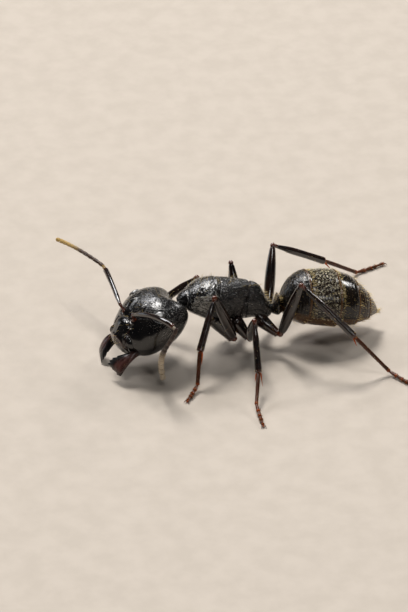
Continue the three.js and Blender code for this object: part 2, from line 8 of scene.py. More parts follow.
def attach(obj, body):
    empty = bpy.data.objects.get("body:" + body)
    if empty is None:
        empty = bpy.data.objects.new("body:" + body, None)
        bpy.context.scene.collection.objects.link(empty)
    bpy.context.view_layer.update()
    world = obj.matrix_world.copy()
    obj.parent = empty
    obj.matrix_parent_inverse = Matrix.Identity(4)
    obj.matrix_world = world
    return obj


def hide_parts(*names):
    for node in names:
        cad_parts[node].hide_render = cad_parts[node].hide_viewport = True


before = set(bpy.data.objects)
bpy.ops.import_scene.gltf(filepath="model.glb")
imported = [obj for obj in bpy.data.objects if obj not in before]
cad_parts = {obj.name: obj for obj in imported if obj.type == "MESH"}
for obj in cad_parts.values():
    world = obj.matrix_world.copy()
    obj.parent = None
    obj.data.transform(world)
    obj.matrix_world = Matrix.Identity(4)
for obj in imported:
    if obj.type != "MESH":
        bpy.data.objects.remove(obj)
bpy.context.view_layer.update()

# Black carpenter ant, large worker. Lengths here are millimetres in the part's own frame:
# the ant faces -Y, its left side is +X and its feet stand on z = 0. Meshes are written in metres.
MM = 0.001
DEG = math.pi / 180
ORIGIN_SHIFT = np.array([0.05419, -1.19083, 0.0])

# ------------------------------------------------------------------ camera first
VIEW_AZ, VIEW_EL, VIEW_DIST, FOCAL_PX = 76.0, 31.0, 190.0, 4123.0
VIEW_TARGET = np.array([-0.5034, -2.2010, 1.9938])


def make_camera():
    az, el = VIEW_AZ * DEG, VIEW_EL * DEG
    back = Vector((math.cos(el) * math.sin(az), -math.cos(el) * math.cos(az), math.sin(el)))
    target = Vector(VIEW_TARGET) * MM
    data = bpy.data.cameras.new("view")
    data.sensor_fit = "HORIZONTAL"
    data.sensor_width = 36.0
    data.lens = FOCAL_PX * 36.0 / 408.0
    data.clip_start, data.clip_end = 0.01, 20.0
    cam = bpy.data.objects.new("view", data)
    cam.location = target + back * VIEW_DIST * MM
    cam.rotation_euler = back.to_track_quat("Z", "Y").to_euler()
    bpy.context.scene.collection.objects.link(cam)
    bpy.context.scene.camera = cam
    return cam


camera = make_camera()


# ------------------------------------------------------------------ small maths
def unit(v):
    v = np.asarray(v, float)
    n = np.linalg.norm(v, axis=-1, keepdims=True)
    return v / np.where(n < 1e-12, 1, n)


def smooth(a, b, x):
    t = np.clip((np.asarray(x, float) - a) / (b - a), 0, 1)
    return t * t * (3 - 2 * t)


def hill(x):
    return np.exp(-np.asarray(x, float) ** 2)


def monotone(xs, ys):
    xs, ys = np.asarray(xs, float), np.asarray(ys, float)
    h, n = np.diff(xs), len(xs)
    d = np.diff(ys) / h
    m = np.zeros(n)
    for i in range(1, n - 1):
        if d[i - 1] * d[i] > 0:
            a, b = 2 * h[i] + h[i - 1], h[i] + 2 * h[i - 1]
            m[i] = (a + b) / (a / d[i - 1] + b / d[i])

    def end(h0, h1, d0, d1):
        s = ((2 * h0 + h1) * d0 - h0 * d1) / (h0 + h1)
        if s * d0 <= 0:
            return 0.0
        if d0 * d1 <= 0 and abs(s) > 3 * abs(d0):
            return 3 * d0
        return s

    m[0], m[-1] = end(h[0], h[1], d[0], d[1]), end(h[-1], h[-2], d[-1], d[-2])

    def f(x):
        q = np.clip(np.asarray(x, float), xs[0], xs[-1])
        i = np.clip(np.searchsorted(xs, q, side="right") - 1, 0, n - 2)
        t = (q - xs[i]) / h[i]
        t2, t3 = t * t, t * t * t
        return ys[i] * (2 * t3 - 3 * t2 + 1) + m[i] * h[i] * (t3 - 2 * t2 + t) + ys[i + 1] * (3 * t2 - 2 * t3) + m[i + 1] * h[i] * (t3 - t2)

    return f


class Profile:
    """half width, middle and half height along a body, rounded at its poles"""

    def __init__(self, rows):
        r = np.array(rows, float)
        self.lo, self.hi = r[0, 0], r[-1, 0]
        w2, m, h2 = monotone(r[:, 0], r[:, 1] ** 2), monotone(r[:, 0], r[:, 2]), monotone(r[:, 0], r[:, 3] ** 2)
        self.w = lambda x: np.sqrt(np.maximum(0, w2(x)))
        self.m = m
        self.h = lambda x: np.sqrt(np.maximum(0, h2(x)))


def squircle(phi, power):
    """(across, up) of a rounded section at angle phi from the top, towards the left"""
    cx, cz = np.sin(phi), np.cos(phi)
    k = (np.abs(cx) ** power + np.abs(cz) ** power) ** (-1 / power)
    return cx * k, cz * k


def pole_places(lo, hi, n, open_lo=False, open_hi=False):
    t = np.linspace(0, 1, n)
    if not open_lo and not open_hi:
        t = (1 - np.cos(np.pi * (0.012 + 0.976 * t))) / 2
    elif not open_lo:
        t = 1 - np.cos(np.pi / 2 * (0.015 + 0.985 * t))
    elif not open_hi:
        t = np.sin(np.pi / 2 * 0.985 * t)
    return lo + (hi - lo) * t


# ------------------------------------------------------------------ meshes
def new_mesh(name, verts, quads=None, tris=None, tone=None, uv=None, material=None, smooth_faces=True, grain=None):
    verts = np.asarray(verts, np.float64) + ORIGIN_SHIFT
    q = np.zeros((0, 4), np.int32) if quads is None else np.asarray(quads, np.int32)
    t = np.zeros((0, 3), np.int32) if tris is None else np.asarray(tris, np.int32)
    me = bpy.data.meshes.new(name)
    me.vertices.add(len(verts))
    me.vertices.foreach_set("co", (verts * MM).astype(np.float32).ravel())
    nl = q.size + t.size
    me.loops.add(nl)
    me.loops.foreach_set("vertex_index", np.concatenate([q.ravel(), t.ravel()]))
    me.polygons.add(len(q) + len(t))
    starts = np.concatenate([np.arange(len(q)) * 4, q.size + np.arange(len(t)) * 3]).astype(np.int32)
    me.polygons.foreach_set("loop_start", starts)
    me.polygons.foreach_set("use_smooth", np.full(len(q) + len(t), smooth_faces))
    if uv is not None:
        layer = me.uv_layers.new(name="OFBake")
        idx = np.concatenate([q.ravel(), t.ravel()])
        layer.data.foreach_set("uv", np.asarray(uv, np.float32)[idx].ravel())
    for key, field in (("tone", tone), ("grain", grain)):
        if field is not None:
            a = me.attributes.new(key, "FLOAT", "POINT")
            a.data.foreach_set("value", np.asarray(field, np.float32).ravel())
    me.update()
    me.validate()
    ob = bpy.data.objects.new(name, me)
    bpy.context.scene.collection.objects.link(ob)
    if material is not None:
        me.materials.append(material)
    return ob


class Tube:
    """a body made of rings: P[i, j] is place j round ring i"""

    def __init__(self, P, tone=None):
        self.P = np.array(P, float)
        self.tone = np.zeros(self.P.shape[:2]) if tone is None else np.broadcast_to(tone, self.P.shape[:2]).astype(float)
        self.grain = np.zeros(self.P.shape[:2])
        self.refresh()

    def laid_out(self, field):
        return np.concatenate([field.ravel(), [field[0].mean(), field[-1].mean()]])

    def refresh(self):
        P = self.P
        ta = np.roll(P, -1, 1) - np.roll(P, 1, 1)
        ts = np.gradient(P, axis=0)
        n = np.cross(ta, ts)
        c = P.mean(1, keepdims=True)
        self.sign = 1.0 if ((P - c) * n).sum() >= 0 else -1.0
        self.N, self.T, self.A = unit(n) * self.sign, unit(ts), unit(ta)
        return self

    def push(self, d):
        self.P = self.P + self.N * np.asarray(d)[..., None]
        return self.refresh()

    def parts(self, base=0):
        ns, na, _ = self.P.shape
        V = np.concatenate([self.P.reshape(-1, 3), self.P[0].mean(0)[None], self.P[-1].mean(0)[None]])
        i, j = np.meshgrid(np.arange(ns - 1), np.arange(na), indexing="ij")
        a, b = i * na + j, i * na + (j + 1) % na
        c, d = (i + 1) * na + (j + 1) % na, (i + 1) * na + j
        Q = np.stack([a, b, c, d], -1).reshape(-1, 4)
        k = np.arange(na)
        lo, hi = ns * na, ns * na + 1
        T0 = np.stack([np.full(na, lo), (k + 1) % na, k], -1)
        T1 = np.stack([np.full(na, hi), (ns - 1) * na + k, (ns - 1) * na + (k + 1) % na], -1)
        T = np.concatenate([T0, T1])
        if self.sign < 0:
            Q, T = Q[:, ::-1], T[:, ::-1]
        return V, Q + base, T + base


def join(name, tubes, material):
    Vs, Qs, Ts, n = [], [], [], 0
    for t in tubes:
        V, Q, T = t.parts(n)
        Vs.append(V); Qs.append(Q); Ts.append(T)
        n += len(V)
    tone, grain = (np.concatenate([t.laid_out(getattr(t, k)) for t in tubes]) for k in ("tone", "grain"))
    return new_mesh(name, np.concatenate(Vs), np.concatenate(Qs), np.concatenate(Ts), tone=tone, grain=grain, material=material)


class Patch(Tube):
    """an open sheet P[i, j], made solid by a given thickness inward"""

    def __init__(self, P, thick, tone=None, outward=None):
        self.thick, self.out = thick, outward
        super().__init__(P, tone)

    def refresh(self):
        P = self.P
        ta, ts = np.gradient(P, axis=1), np.gradient(P, axis=0)
        n = np.cross(ta, ts)
        self.sign = 1.0 if (n * self.out).sum() >= 0 else -1.0
        self.N, self.T, self.A = unit(n) * self.sign, unit(ts), unit(ta)
        return self

    def parts(self, base=0):
        ns, na, _ = self.P.shape
        m = ns * na
        inner = self.P - self.N * np.asarray(self.thick)[..., None] if np.ndim(self.thick) else self.P - self.N * self.thick
        V = np.concatenate([self.P.reshape(-1, 3), inner.reshape(-1, 3)])
        i, j = np.meshgrid(np.arange(ns - 1), np.arange(na - 1), indexing="ij")
        a, b, c, d = i * na + j, i * na + j + 1, (i + 1) * na + j + 1, (i + 1) * na + j
        Q = [np.stack([a, b, c, d], -1).reshape(-1, 4), np.stack([d, c, b, a], -1).reshape(-1, 4) + m]
        k = np.arange(na - 1)
        Q.append(np.stack([k + 1, k, k + m, k + 1 + m], -1))
        e = (ns - 1) * na + k
        Q.append(np.stack([e, e + 1, e + 1 + m, e + m], -1))
        r = np.arange(ns - 1) * na
        Q.append(np.stack([r, r + na, r + na + m, r + m], -1))
        s = r + na - 1
        Q.append(np.stack([s + na, s, s + m, s + na + m], -1))
        Q = np.concatenate(Q)
        if self.sign < 0:
            Q = Q[:, ::-1]
        return V, Q + base, np.zeros((0, 3), int)

    def laid_out(self, field):
        return np.concatenate([field.ravel(), field.ravel()])


def body_tube(profile, power, frame_, lo, hi, rings, around, shift=None, grow=0.0, places=None):
    s = pole_places(lo, hi, rings, lo > profile.lo + 1e-6, hi < profile.hi - 1e-6) if places is None else places
    phi = np.arange(around) / around * 2 * np.pi
    S, PH = np.meshgrid(s, phi, indexing="ij")
    cx, cz = squircle(PH, power)
    l, f, u = (profile.w(S) + grow) * cx, S.copy(), profile.m(S) + (profile.h(S) + grow) * cz
    if shift:
        l, f, u = shift(l, f, u)
    o, L, A, U = frame_
    return o + l[..., None] * L + f[..., None] * A + u[..., None] * U, S, PH, l, f, u


def bezier2(p0, p1, p2):
    return lambda t: (1 - t)[:, None] ** 2 * p0 + 2 * (t * (1 - t))[:, None] * p1 + t[:, None] ** 2 * p2


def bezier3(p0, p1, p2, p3):
    def f(t):
        t = t[:, None]
        return (1 - t) ** 3 * p0 + 3 * t * (1 - t) ** 2 * p1 + 3 * t * t * (1 - t) * p2 + t ** 3 * p3
    return f


def limb(curve, radius, rings, around, side=(0, 1, 0), flat=1.0, t0=0.0, t1=1.0, twist=0.0, section=None):
    """a tube of given radius(s) along curve(t); s runs 0..1 over t0..t1"""
    s = pole_places(0, 1, rings)
    t = t0 + (t1 - t0) * s
    c = curve(t)
    d = unit(curve(np.clip(t + 1e-3, 0, 1)) - curve(np.clip(t - 1e-3, 0, 1)))
    side = np.asarray(side, float)
    b = unit(side - (d @ side)[:, None] * d)
    n = np.cross(d, b)
    r = radius(s)
    phi = np.arange(around) / around * 2 * np.pi
    S, PH = np.meshgrid(s, phi, indexing="ij")
    cu, cw = np.cos(PH + twist), np.sin(PH + twist)
    R = np.broadcast_to(r[:, None], S.shape).copy()
    if section is not None:
        R = R * section(S, PH)
    P = c[:, None] + b[:, None] * (R * cu * flat)[..., None] + n[:, None] * (R * cw)[..., None]
    return P, S, PH


def ends(s, a, b):
    return np.sqrt(np.clip(1 - (1 - np.clip(s / a, 0, 1)) ** 2, 0, 1)) * np.sqrt(np.clip(1 - (1 - np.clip((1 - s) / b, 0, 1)) ** 2, 0, 1))


# ------------------------------------------------------------------ hairs: thin tapered solids, rooted in a body
def scatter(P, N, T, count, seed, density=None, tile=(0, 0, 1, 1), closed=True):
    """count roots spread over the sheet P by area, with normals, flow and an unwrap place"""
    rng = np.random.default_rng(seed)
    Q = np.concatenate([P, P[:, :1]], 1) if closed else P
    NN = np.concatenate([N, N[:, :1]], 1) if closed else N
    TT = np.concatenate([T, T[:, :1]], 1) if closed else T
    a, b, c = Q[:-1, :-1], Q[:-1, 1:], Q[1:, :-1]
    area = np.linalg.norm(np.cross(b - a, c - a), axis=-1)
    if density is not None:
        D = np.concatenate([density, density[:, :1]], 1) if closed else density
        area = area * np.clip(D[:-1, :-1], 0, None)
    w = area.ravel()
    w = w / w.sum()
    pick = rng.choice(len(w), size=count, p=w)
    i, j = np.unravel_index(pick, area.shape)
    u, v = rng.random(count), rng.random(count)

    def at(X):
        return (X[i, j].T * (1 - u) * (1 - v) + X[i + 1, j].T * u * (1 - v) + X[i, j + 1].T * (1 - u) * v + X[i + 1, j + 1].T * u * v).T

    ns, na = Q.shape[0] - 1, Q.shape[1] - 1
    x0, y0, x1, y1 = tile
    uv = np.stack([x0 + (x1 - x0) * (0.01 + 0.98 * (j + v) / na), y0 + (y1 - y0) * (0.01 + 0.98 * (i + u) / ns)], -1)
    return {"p": at(Q), "n": unit(at(NN)), "t": unit(at(TT)), "uv": uv, "i": i, "j": j, "rng": rng}


def fibres(root, lie, normal, length, width, lift, curl, uv, rings=2, sink=0.012, flow_noise=None):
    """tapered three-sided hairs. lie: direction along the body; lift: rise at the root; curl: how far it bends back to the body"""
    n = len(root)
    d0 = unit(lie * np.cos(lift)[:, None] + normal * np.sin(lift)[:, None])
    down = unit(lie * 0.35 - normal)
    ts = np.linspace(0, 1, rings + 1)
    C = [root + d0 * (length * t)[:, None] + down * (length * curl * t * t)[:, None] - normal * (sink * (1 - t)) for t in ts]
    a = unit(np.cross(d0, normal + 1e-3))
    b = np.cross(d0, a)
    V, U = [], []
    for k in range(rings):
        r = width / 2 * (1 - 0.72 * (k / rings) ** 1.5)
        for q in range(3):
            ang = q * 2 * np.pi / 3
            V.append(C[k] + a * (r * math.cos(ang))[:, None] + b * (r * math.sin(ang))[:, None])
            U.append(uv + 0.0015 * (1 - 0.7 * k / rings) * np.array([math.cos(ang), math.sin(ang)]))
    V.append(C[rings])
    U.append(uv)
    per = rings * 3 + 1
    V = np.stack(V, 1).reshape(-1, 3)
    U = np.stack(U, 1).reshape(-1, 2)
    F = [[0, 2, 1]]
    for k in range(rings - 1):
        for q in range(3):
            a0, b0 = k * 3 + q, k * 3 + (q + 1) % 3
            F += [[a0, b0, b0 + 3], [a0, b0 + 3, a0 + 3]]
    k = (rings - 1) * 3
    for q in range(3):
        F.append([k + q, k + (q + 1) % 3, per - 1])
    F = np.array(F)
    T = (F[None] + (np.arange(n) * per)[:, None, None]).reshape(-1, 3)
    return V, T, U, per


class Coat:
    """collects hairs and writes them as one mesh"""

    def __init__(self):
        self.V, self.T, self.U, self.O, self.n = [], [], [], [], 0

    def add(self, sc, length, width, lift, curl=0.25, rings=2, spread=0.25, tone=0.0, lie=None, sink=0.012, vary=0.3, gather=None):
        rng, n = sc["rng"], len(sc["p"])
        if n == 0:
            return self
        nrm = sc["n"]
        t = sc["t"] if lie is None else unit(lie)
        t = unit(t - (t * nrm).sum(-1, keepdims=True) * nrm)
        side = np.cross(nrm, t)
        ang = rng.normal(0, spread, n)
        if gather is not None:
            ang = ang + gather
        t = t * np.cos(ang)[:, None] + side * np.sin(ang)[:, None]
        L = length * (1 + rng.uniform(-vary, vary, n))
        W = width * (1 + rng.uniform(-0.25, 0.25, n))
        lf = np.clip(lift + rng.normal(0, 0.12, n), 0.04, 1.5)
        V, T, U, per = fibres(sc["p"], t, nrm, L, W, lf, curl, sc["uv"], rings=rings, sink=sink)
        self.V.append(V); self.T.append(T + self.n); self.U.append(U)
        o = np.clip(tone + rng.normal(0, 0.10, n), 0, 1)
        self.O.append(np.repeat(o, per))
        self.n += len(V)
        return self

    def triangles(self):
        return sum(len(t) for t in self.T)

    def write(self, name, material):
        ob = new_mesh(name, np.concatenate(self.V), None, np.concatenate(self.T), tone=np.concatenate(self.O), uv=np.concatenate(self.U), material=material, smooth_faces=True)
        assert self.triangles() < 200000, name
        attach(ob, "root")
        return ob


# ------------------------------------------------------------------ materials
class Nodes:
    def __init__(self, name):
        self.m = bpy.data.materials.new(name)
        self.m.use_nodes = True
        self.t = self.m.node_tree
        self.t.nodes.clear()
        self.out = self.t.nodes.new("ShaderNodeOutputMaterial")
        self.bsdf = self.t.nodes.new("ShaderNodeBsdfPrincipled")
        self.link(self.bsdf.outputs[0], self.out.inputs[0])
        self.place = self.t.nodes.new("ShaderNodeTexCoord").outputs["Object"]

    def link(self, a, b):
        self.t.links.new(a, b)

    def set(self, **values):
        for k, v in values.items():
            self.bsdf.inputs[k.replace("_", " ")].default_value = v
        return self

    def noise(self, scale, detail=3.0, rough=0.55, distort=0.0, vector=None):
        n = self.t.nodes.new("ShaderNodeTexNoise")
        n.inputs["Scale"].default_value = scale
        n.inputs["Detail"].default_value = detail
        n.inputs["Roughness"].default_value = rough
        n.inputs["Distortion"].default_value = distort
        self.link(vector or self.place, n.inputs["Vector"])
        return n.outputs["Fac"]

    def cells(self, scale, feature="DISTANCE_TO_EDGE", random=1.0, vector=None):
        n = self.t.nodes.new("ShaderNodeTexVoronoi")
        n.feature = feature
        n.inputs["Scale"].default_value = scale
        n.inputs["Randomness"].default_value = random
        self.link(vector or self.place, n.inputs["Vector"])
        return n.outputs["Distance"]

    def stretch(self, x, y, z, rot=(0, 0, 0)):
        n = self.t.nodes.new("ShaderNodeMapping")
        n.inputs["Scale"].default_value = (x, y, z)
        n.inputs["Rotation"].default_value = rot
        self.link(self.place, n.inputs["Vector"])
        return n.outputs[0]

    def span(self, value, a, b, c, d):
        n = self.t.nodes.new("ShaderNodeMapRange")
        for k, v in zip((1, 2, 3, 4), (a, b, c, d)):
            n.inputs[k].default_value = v
        self.link(value, n.inputs[0])
        return n.outputs[0]

    def ramp(self, value, *stops):
        n = self.t.nodes.new("ShaderNodeValToRGB")
        r = n.color_ramp
        while len(r.elements) < len(stops):
            r.elements.new(0.5)
        for e, (p, c) in zip(r.elements, stops):
            e.position, e.color = p, (*c, 1)
        self.link(value, n.inputs[0])
        return n.outputs[0]

    def mix(self, fac, a, b):
        n = self.t.nodes.new("ShaderNodeMix")
        n.data_type = "RGBA"
        self.link(fac, n.inputs[0])
        for s, v in ((6, a), (7, b)):
            if isinstance(v, tuple):
                n.inputs[s].default_value = (*v, 1)
            else:
                self.link(v, n.inputs[s])
        return n.outputs[2]

    def math(self, op, a, b=None, c=None):
        n = self.t.nodes.new("ShaderNodeMath")
        n.operation = op
        for k, v in enumerate((a, b, c)):
            if v is None:
                continue
            if isinstance(v, (int, float)):
                n.inputs[k].default_value = v
            else:
                self.link(v, n.inputs[k])
        return n.outputs[0]

    def attribute(self, name="tone"):
        n = self.t.nodes.new("ShaderNodeAttribute")
        n.attribute_name = name
        return n.outputs["Fac"]

    def bump(self, height, strength, distance, normal=None):
        n = self.t.nodes.new("ShaderNodeBump")
        n.inputs["Strength"].default_value = strength
        n.inputs["Distance"].default_value = distance
        self.link(height, n.inputs["Height"])
        if normal is not None:
            self.link(normal, n.inputs["Normal"])
        return n.outputs[0]

    def done(self, color=None, rough=None, normal=None):
        if color is not None:
            self.link(color, self.bsdf.inputs["Base Color"])
        if rough is not None:
            self.link(rough, self.bsdf.inputs["Roughness"])
        if normal is not None:
            self.link(normal, self.bsdf.inputs["Normal"])
        return self.m


def cuticle(name, dark, light, tint, rough=(0.14, 0.24), net=30000.0, pits=5200.0, net_depth=0.6e-6, pit_depth=7e-6, coat=0.15, coat_rough=0.10, spec=0.30, wave=3e-6, wave_scale=5600.0, lines=None, dull=0.05):
    """polished insect shell: net-like microsculpture, hair pits, swells and patchy polish.
    tone mixes in the tint; grain is 0 where the shell is polished and 1 where it is dull, wrinkled and pitted"""
    n = Nodes(name)
    n.set(Coat_Weight=coat, Coat_Roughness=coat_rough, Specular_IOR_Level=spec, IOR=1.56)
    grain = n.attribute("grain")
    patchy = n.noise(1700.0, 4.0, 0.6)
    fine = n.noise(26000.0, 2.0, 0.5)
    base = n.mix(n.span(patchy, 0.38, 0.66, 0.0, 1.0), dark, light)
    color = n.mix(n.attribute(), base, n.mix(n.span(fine, 0.35, 0.7, 0.0, 1.0), tuple(0.72 * c for c in tint), tint))
    r = n.span(n.math("ADD", n.math("MULTIPLY", patchy, 0.6), n.math("MULTIPLY", fine, 0.4)), 0.36, 0.64, rough[0], rough[1])
    r = n.math("ADD", r, n.math("MULTIPLY", grain, dull))
    web = n.math("MULTIPLY", n.span(n.cells(net), 0.0, 0.16, 0.0, 1.0), n.math("MULTIPLY_ADD", grain, 0.85, 0.15))
    pit = n.math("MULTIPLY", n.span(n.cells(pits, "F1"), 0.06, 0.40, 0.0, 1.0), n.math("MULTIPLY_ADD", grain, 0.99, 0.01))
    swell = n.math("MULTIPLY", n.noise(wave_scale, 3.0, 0.5), n.math("MULTIPLY_ADD", grain, 0.92, 0.08))
    b = n.bump(swell, 1.0, wave)
    if lines:
        b = n.bump(n.noise(lines[0], 2.0, 0.5, vector=n.stretch(*lines[2])), 1.0, lines[1], b)
    b = n.bump(pit, 1.0, pit_depth, b)
    b = n.bump(web, 0.8, net_depth, b)
    return n.done(color, r, b)


def hair_material(name, pale, deep, rough=0.34, spec=0.6):
    n = Nodes(name)
    n.set(Specular_IOR_Level=spec, IOR=1.55, Coat_Weight=0.15, Coat_Roughness=0.25)
    streak = n.noise(9000.0, 2.0, 0.6)
    tone = n.math("ADD", n.attribute(), n.math("MULTIPLY", n.math("SUBTRACT", streak, 0.5), 0.5))
    color = n.ramp(tone, (0.0, pale), (1.0, deep))
    grain = n.noise(60000.0, 1.0, 0.5)
    return n.done(color, n.span(streak, 0.3, 0.7, rough - 0.06, rough + 0.10), n.bump(grain, 0.3, 1e-6))


BLACK = cuticle("shell_black", (0.0032, 0.0028, 0.0030), (0.0080, 0.0064, 0.0062), (0.050, 0.016, 0.008), rough=(0.10, 0.18), pits=7000.0, pit_depth=3.2e-5, wave=0.95e-4, wave_scale=6400.0, coat=0.20, coat_rough=0.10, spec=0.52)
HEAD_BLACK = cuticle("shell_head", (0.0030, 0.0026, 0.0028), (0.0070, 0.0056, 0.0054), (0.100, 0.022, 0.010), rough=(0.13, 0.22), pits=8200.0, pit_depth=3.4e-5, wave=2.2e-5, wave_scale=9000.0, coat=0.22, coat_rough=0.10, spec=0.48, dull=0.06)
LEG_BLACK = cuticle("shell_leg", (0.0048, 0.0030, 0.0024), (0.0220, 0.0080, 0.0044), (0.170, 0.030, 0.008), rough=(0.11, 0.19), net=42000.0, pits=9000.0, net_depth=0.3e-6, pit_depth=6e-6, wave=6e-6, coat=0.60, coat_rough=0.05, spec=0.45)
GASTER_BLACK = cuticle("shell_gaster", (0.0040, 0.0030, 0.0024), (0.0120, 0.0075, 0.0046), (0.150, 0.070, 0.022), rough=(0.13, 0.22), pits=8000.0, net_depth=0.4e-6, pit_depth=2.0e-5, wave=6e-5, coat=0.14, coat_rough=0.10, spec=0.32, lines=(9000.0, 9.0e-6, (0.16, 1.0, 0.16, (0.30, 0, 0))))
JAW = cuticle("shell_jaw", (0.018, 0.0064, 0.0054), (0.082, 0.0320, 0.0255), (0.0040, 0.0026, 0.0022), rough=(0.22, 0.34), net=30000.0, pits=7000.0, pit_depth=4e-6, wave=6e-6, coat=0.15, coat_rough=0.12)
# FEELER's pale whitish tint: on the near feeler's outer joints it is a painted highlight; on the palps and lip it is
# their own pale colour
FEELER = cuticle("shell_feeler", (0.012, 0.0042, 0.0036), (0.034, 0.0110, 0.0090), (0.66, 0.56, 0.43), rough=(0.28, 0.42), net=52000.0, pits=14000.0, net_depth=0.5e-6, pit_depth=3e-6, wave=6e-6, coat=0.0, coat_rough=0.25, spec=0.28)
FEELER_GOLD = cuticle("shell_feeler_gold", (0.016, 0.0060, 0.0030), (0.046, 0.0180, 0.0080), (0.48, 0.30, 0.075), rough=(0.28, 0.42), net=52000.0, pits=14000.0, net_depth=0.5e-6, pit_depth=3e-6, wave=6e-6, coat=0.0, coat_rough=0.25, spec=0.28)
FOOT = cuticle("shell_foot", (0.014, 0.0046, 0.0022), (0.060, 0.0150, 0.0045), (0.56, 0.100, 0.009), rough=(0.24, 0.38), net=50000.0, pits=14000.0, net_depth=0.4e-6, pit_depth=3e-6, wave=6e-6, coat=0.08, coat_rough=0.10, spec=0.25)
MEMBRANE = cuticle("joint_membrane", (0.012, 0.009, 0.008), (0.024, 0.017, 0.013), (0.06, 0.03, 0.02), rough=(0.42, 0.6), net=24000.0, pits=9000.0, coat=0.0, coat_rough=0.4)


def eye_material():
    """dark compound eye: six-sided facets about 0.022 mm across under a clear gloss"""
    n = Nodes("eye_facets")
    n.set(Coat_Weight=0.8, Coat_Roughness=0.34, Specular_IOR_Level=1.0, IOR=1.7)
    facet = n.cells(46000.0, "F1", 0.12)
    dome = n.math("MULTIPLY", n.math("MULTIPLY", facet, facet), -1.0)
    deep = n.noise(2600.0, 2.0, 0.5)
    color = n.mix(n.span(deep, 0.35, 0.65, 0.0, 1.0), (0.0060, 0.0050, 0.0050), (0.016, 0.011, 0.008))
    return n.done(color, n.span(n.noise(30000.0, 1.0), 0.3, 0.7, 0.30, 0.38), n.bump(dome, 0.6, 2.5e-6))


EYE = eye_material()
GOLD_HAIR = hair_material("hair_gold", (0.92, 0.70, 0.27), (0.36, 0.20, 0.06), rough=0.26, spec=1.0)
PALE_HAIR = hair_material("hair_pale", (0.84, 0.79, 0.70), (0.30, 0.24, 0.17), rough=0.26, spec=1.0)
STRAW_HAIR = hair_material("hair_straw", (0.95, 0.86, 0.60), (0.50, 0.34, 0.12), rough=0.24, spec=1.0)
DARK_HAIR = hair_material("hair_dark", (0.22, 0.12, 0.050), (0.040, 0.018, 0.010), rough=0.32)


def piece(ob, slot, *nodes):
    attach(ob, "root")
    if nodes:
        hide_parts(*nodes)
    return ob


# ------------------------------------------------------------------ head
HEAD_CENTRE = np.array([0.38, -3.90, 2.05])
HEAD_YAW, HEAD_PITCH, HEAD_ROLL = 15.0, 28.0, 4.0
HEAD_STATIONS = [
    [-1.74, 0.00, -0.12, 0.00], [-1.60, 0.98, -0.08, 0.52], [-1.30, 1.38, 0.00, 0.84],
    [-0.80, 1.64, 0.05, 1.07], [-0.25, 1.73, 0.06, 1.15], [0.35, 1.64, 0.03, 1.08],
    [0.90, 1.42, -0.03, 0.92], [1.26, 1.14, -0.03, 0.70], [1.50, 0.84, 0.00, 0.47], [1.67, 0.00, 0.02, 0.00]]
HEAD_POWER = 2.35
OCCIPUT_NOTCH, CLYPEUS_RISE, CLYPEUS_HALF = 0.16, 0.10, 0.55
EYE_PLACE, EYE_LENGTH, EYE_WIDTH, EYE_BULGE = (1.33, -0.46), 0.54, 0.42, 0.08
SOCKET_PLACE = (0.50, 0.52)
MANDIBLE_BASE = (1.007, 1.297, -0.272)
FORAMEN = (0, -1.35, -0.42)


def head_axes():
    y, p, r = HEAD_YAW * DEG, HEAD_PITCH * DEG, HEAD_ROLL * DEG
    along = np.array([math.sin(y) * math.cos(p), -math.cos(y) * math.cos(p), -math.sin(p)])
    l0 = np.array([math.cos(y), math.sin(y), 0.0])
    d0 = np.cross(along, l0)
    d0 = -d0 if d0[2] < 0 else d0
    return HEAD_CENTRE, l0 * math.cos(r) + d0 * math.sin(r), along, d0 * math.cos(r) - l0 * math.sin(r)


HEAD = head_axes()
HEAD_PROFILE = Profile(HEAD_STATIONS)


def in_head(q):
    q = np.asarray(q, float)
    o, L, A, U = HEAD
    return o + q[..., 0:1] * L + q[..., 1:2] * A + q[..., 2:3] * U


def head_top(l, f):
    return HEAD_PROFILE.m(f) + HEAD_PROFILE.h(f) * np.maximum(0, 1 - np.abs(l / HEAD_PROFILE.w(f)) ** HEAD_POWER) ** (1 / HEAD_POWER)


def head_shift(l, f, u):
    back, front, top = smooth(-0.9, -1.74, f), smooth(0.35, 1.3, f), smooth(-0.1, 0.5, u)
    g = f + OCCIPUT_NOTCH * back * hill(l / 0.62) - 0.10 * back * hill((np.abs(l) - 1.0) / 0.4)
    v = u + CLYPEUS_RISE * front * top * hill(l / CLYPEUS_HALF)
    g = g + 0.10 * smooth(1.2, 1.7, g) * hill(l / 0.6)
    return l, g, v


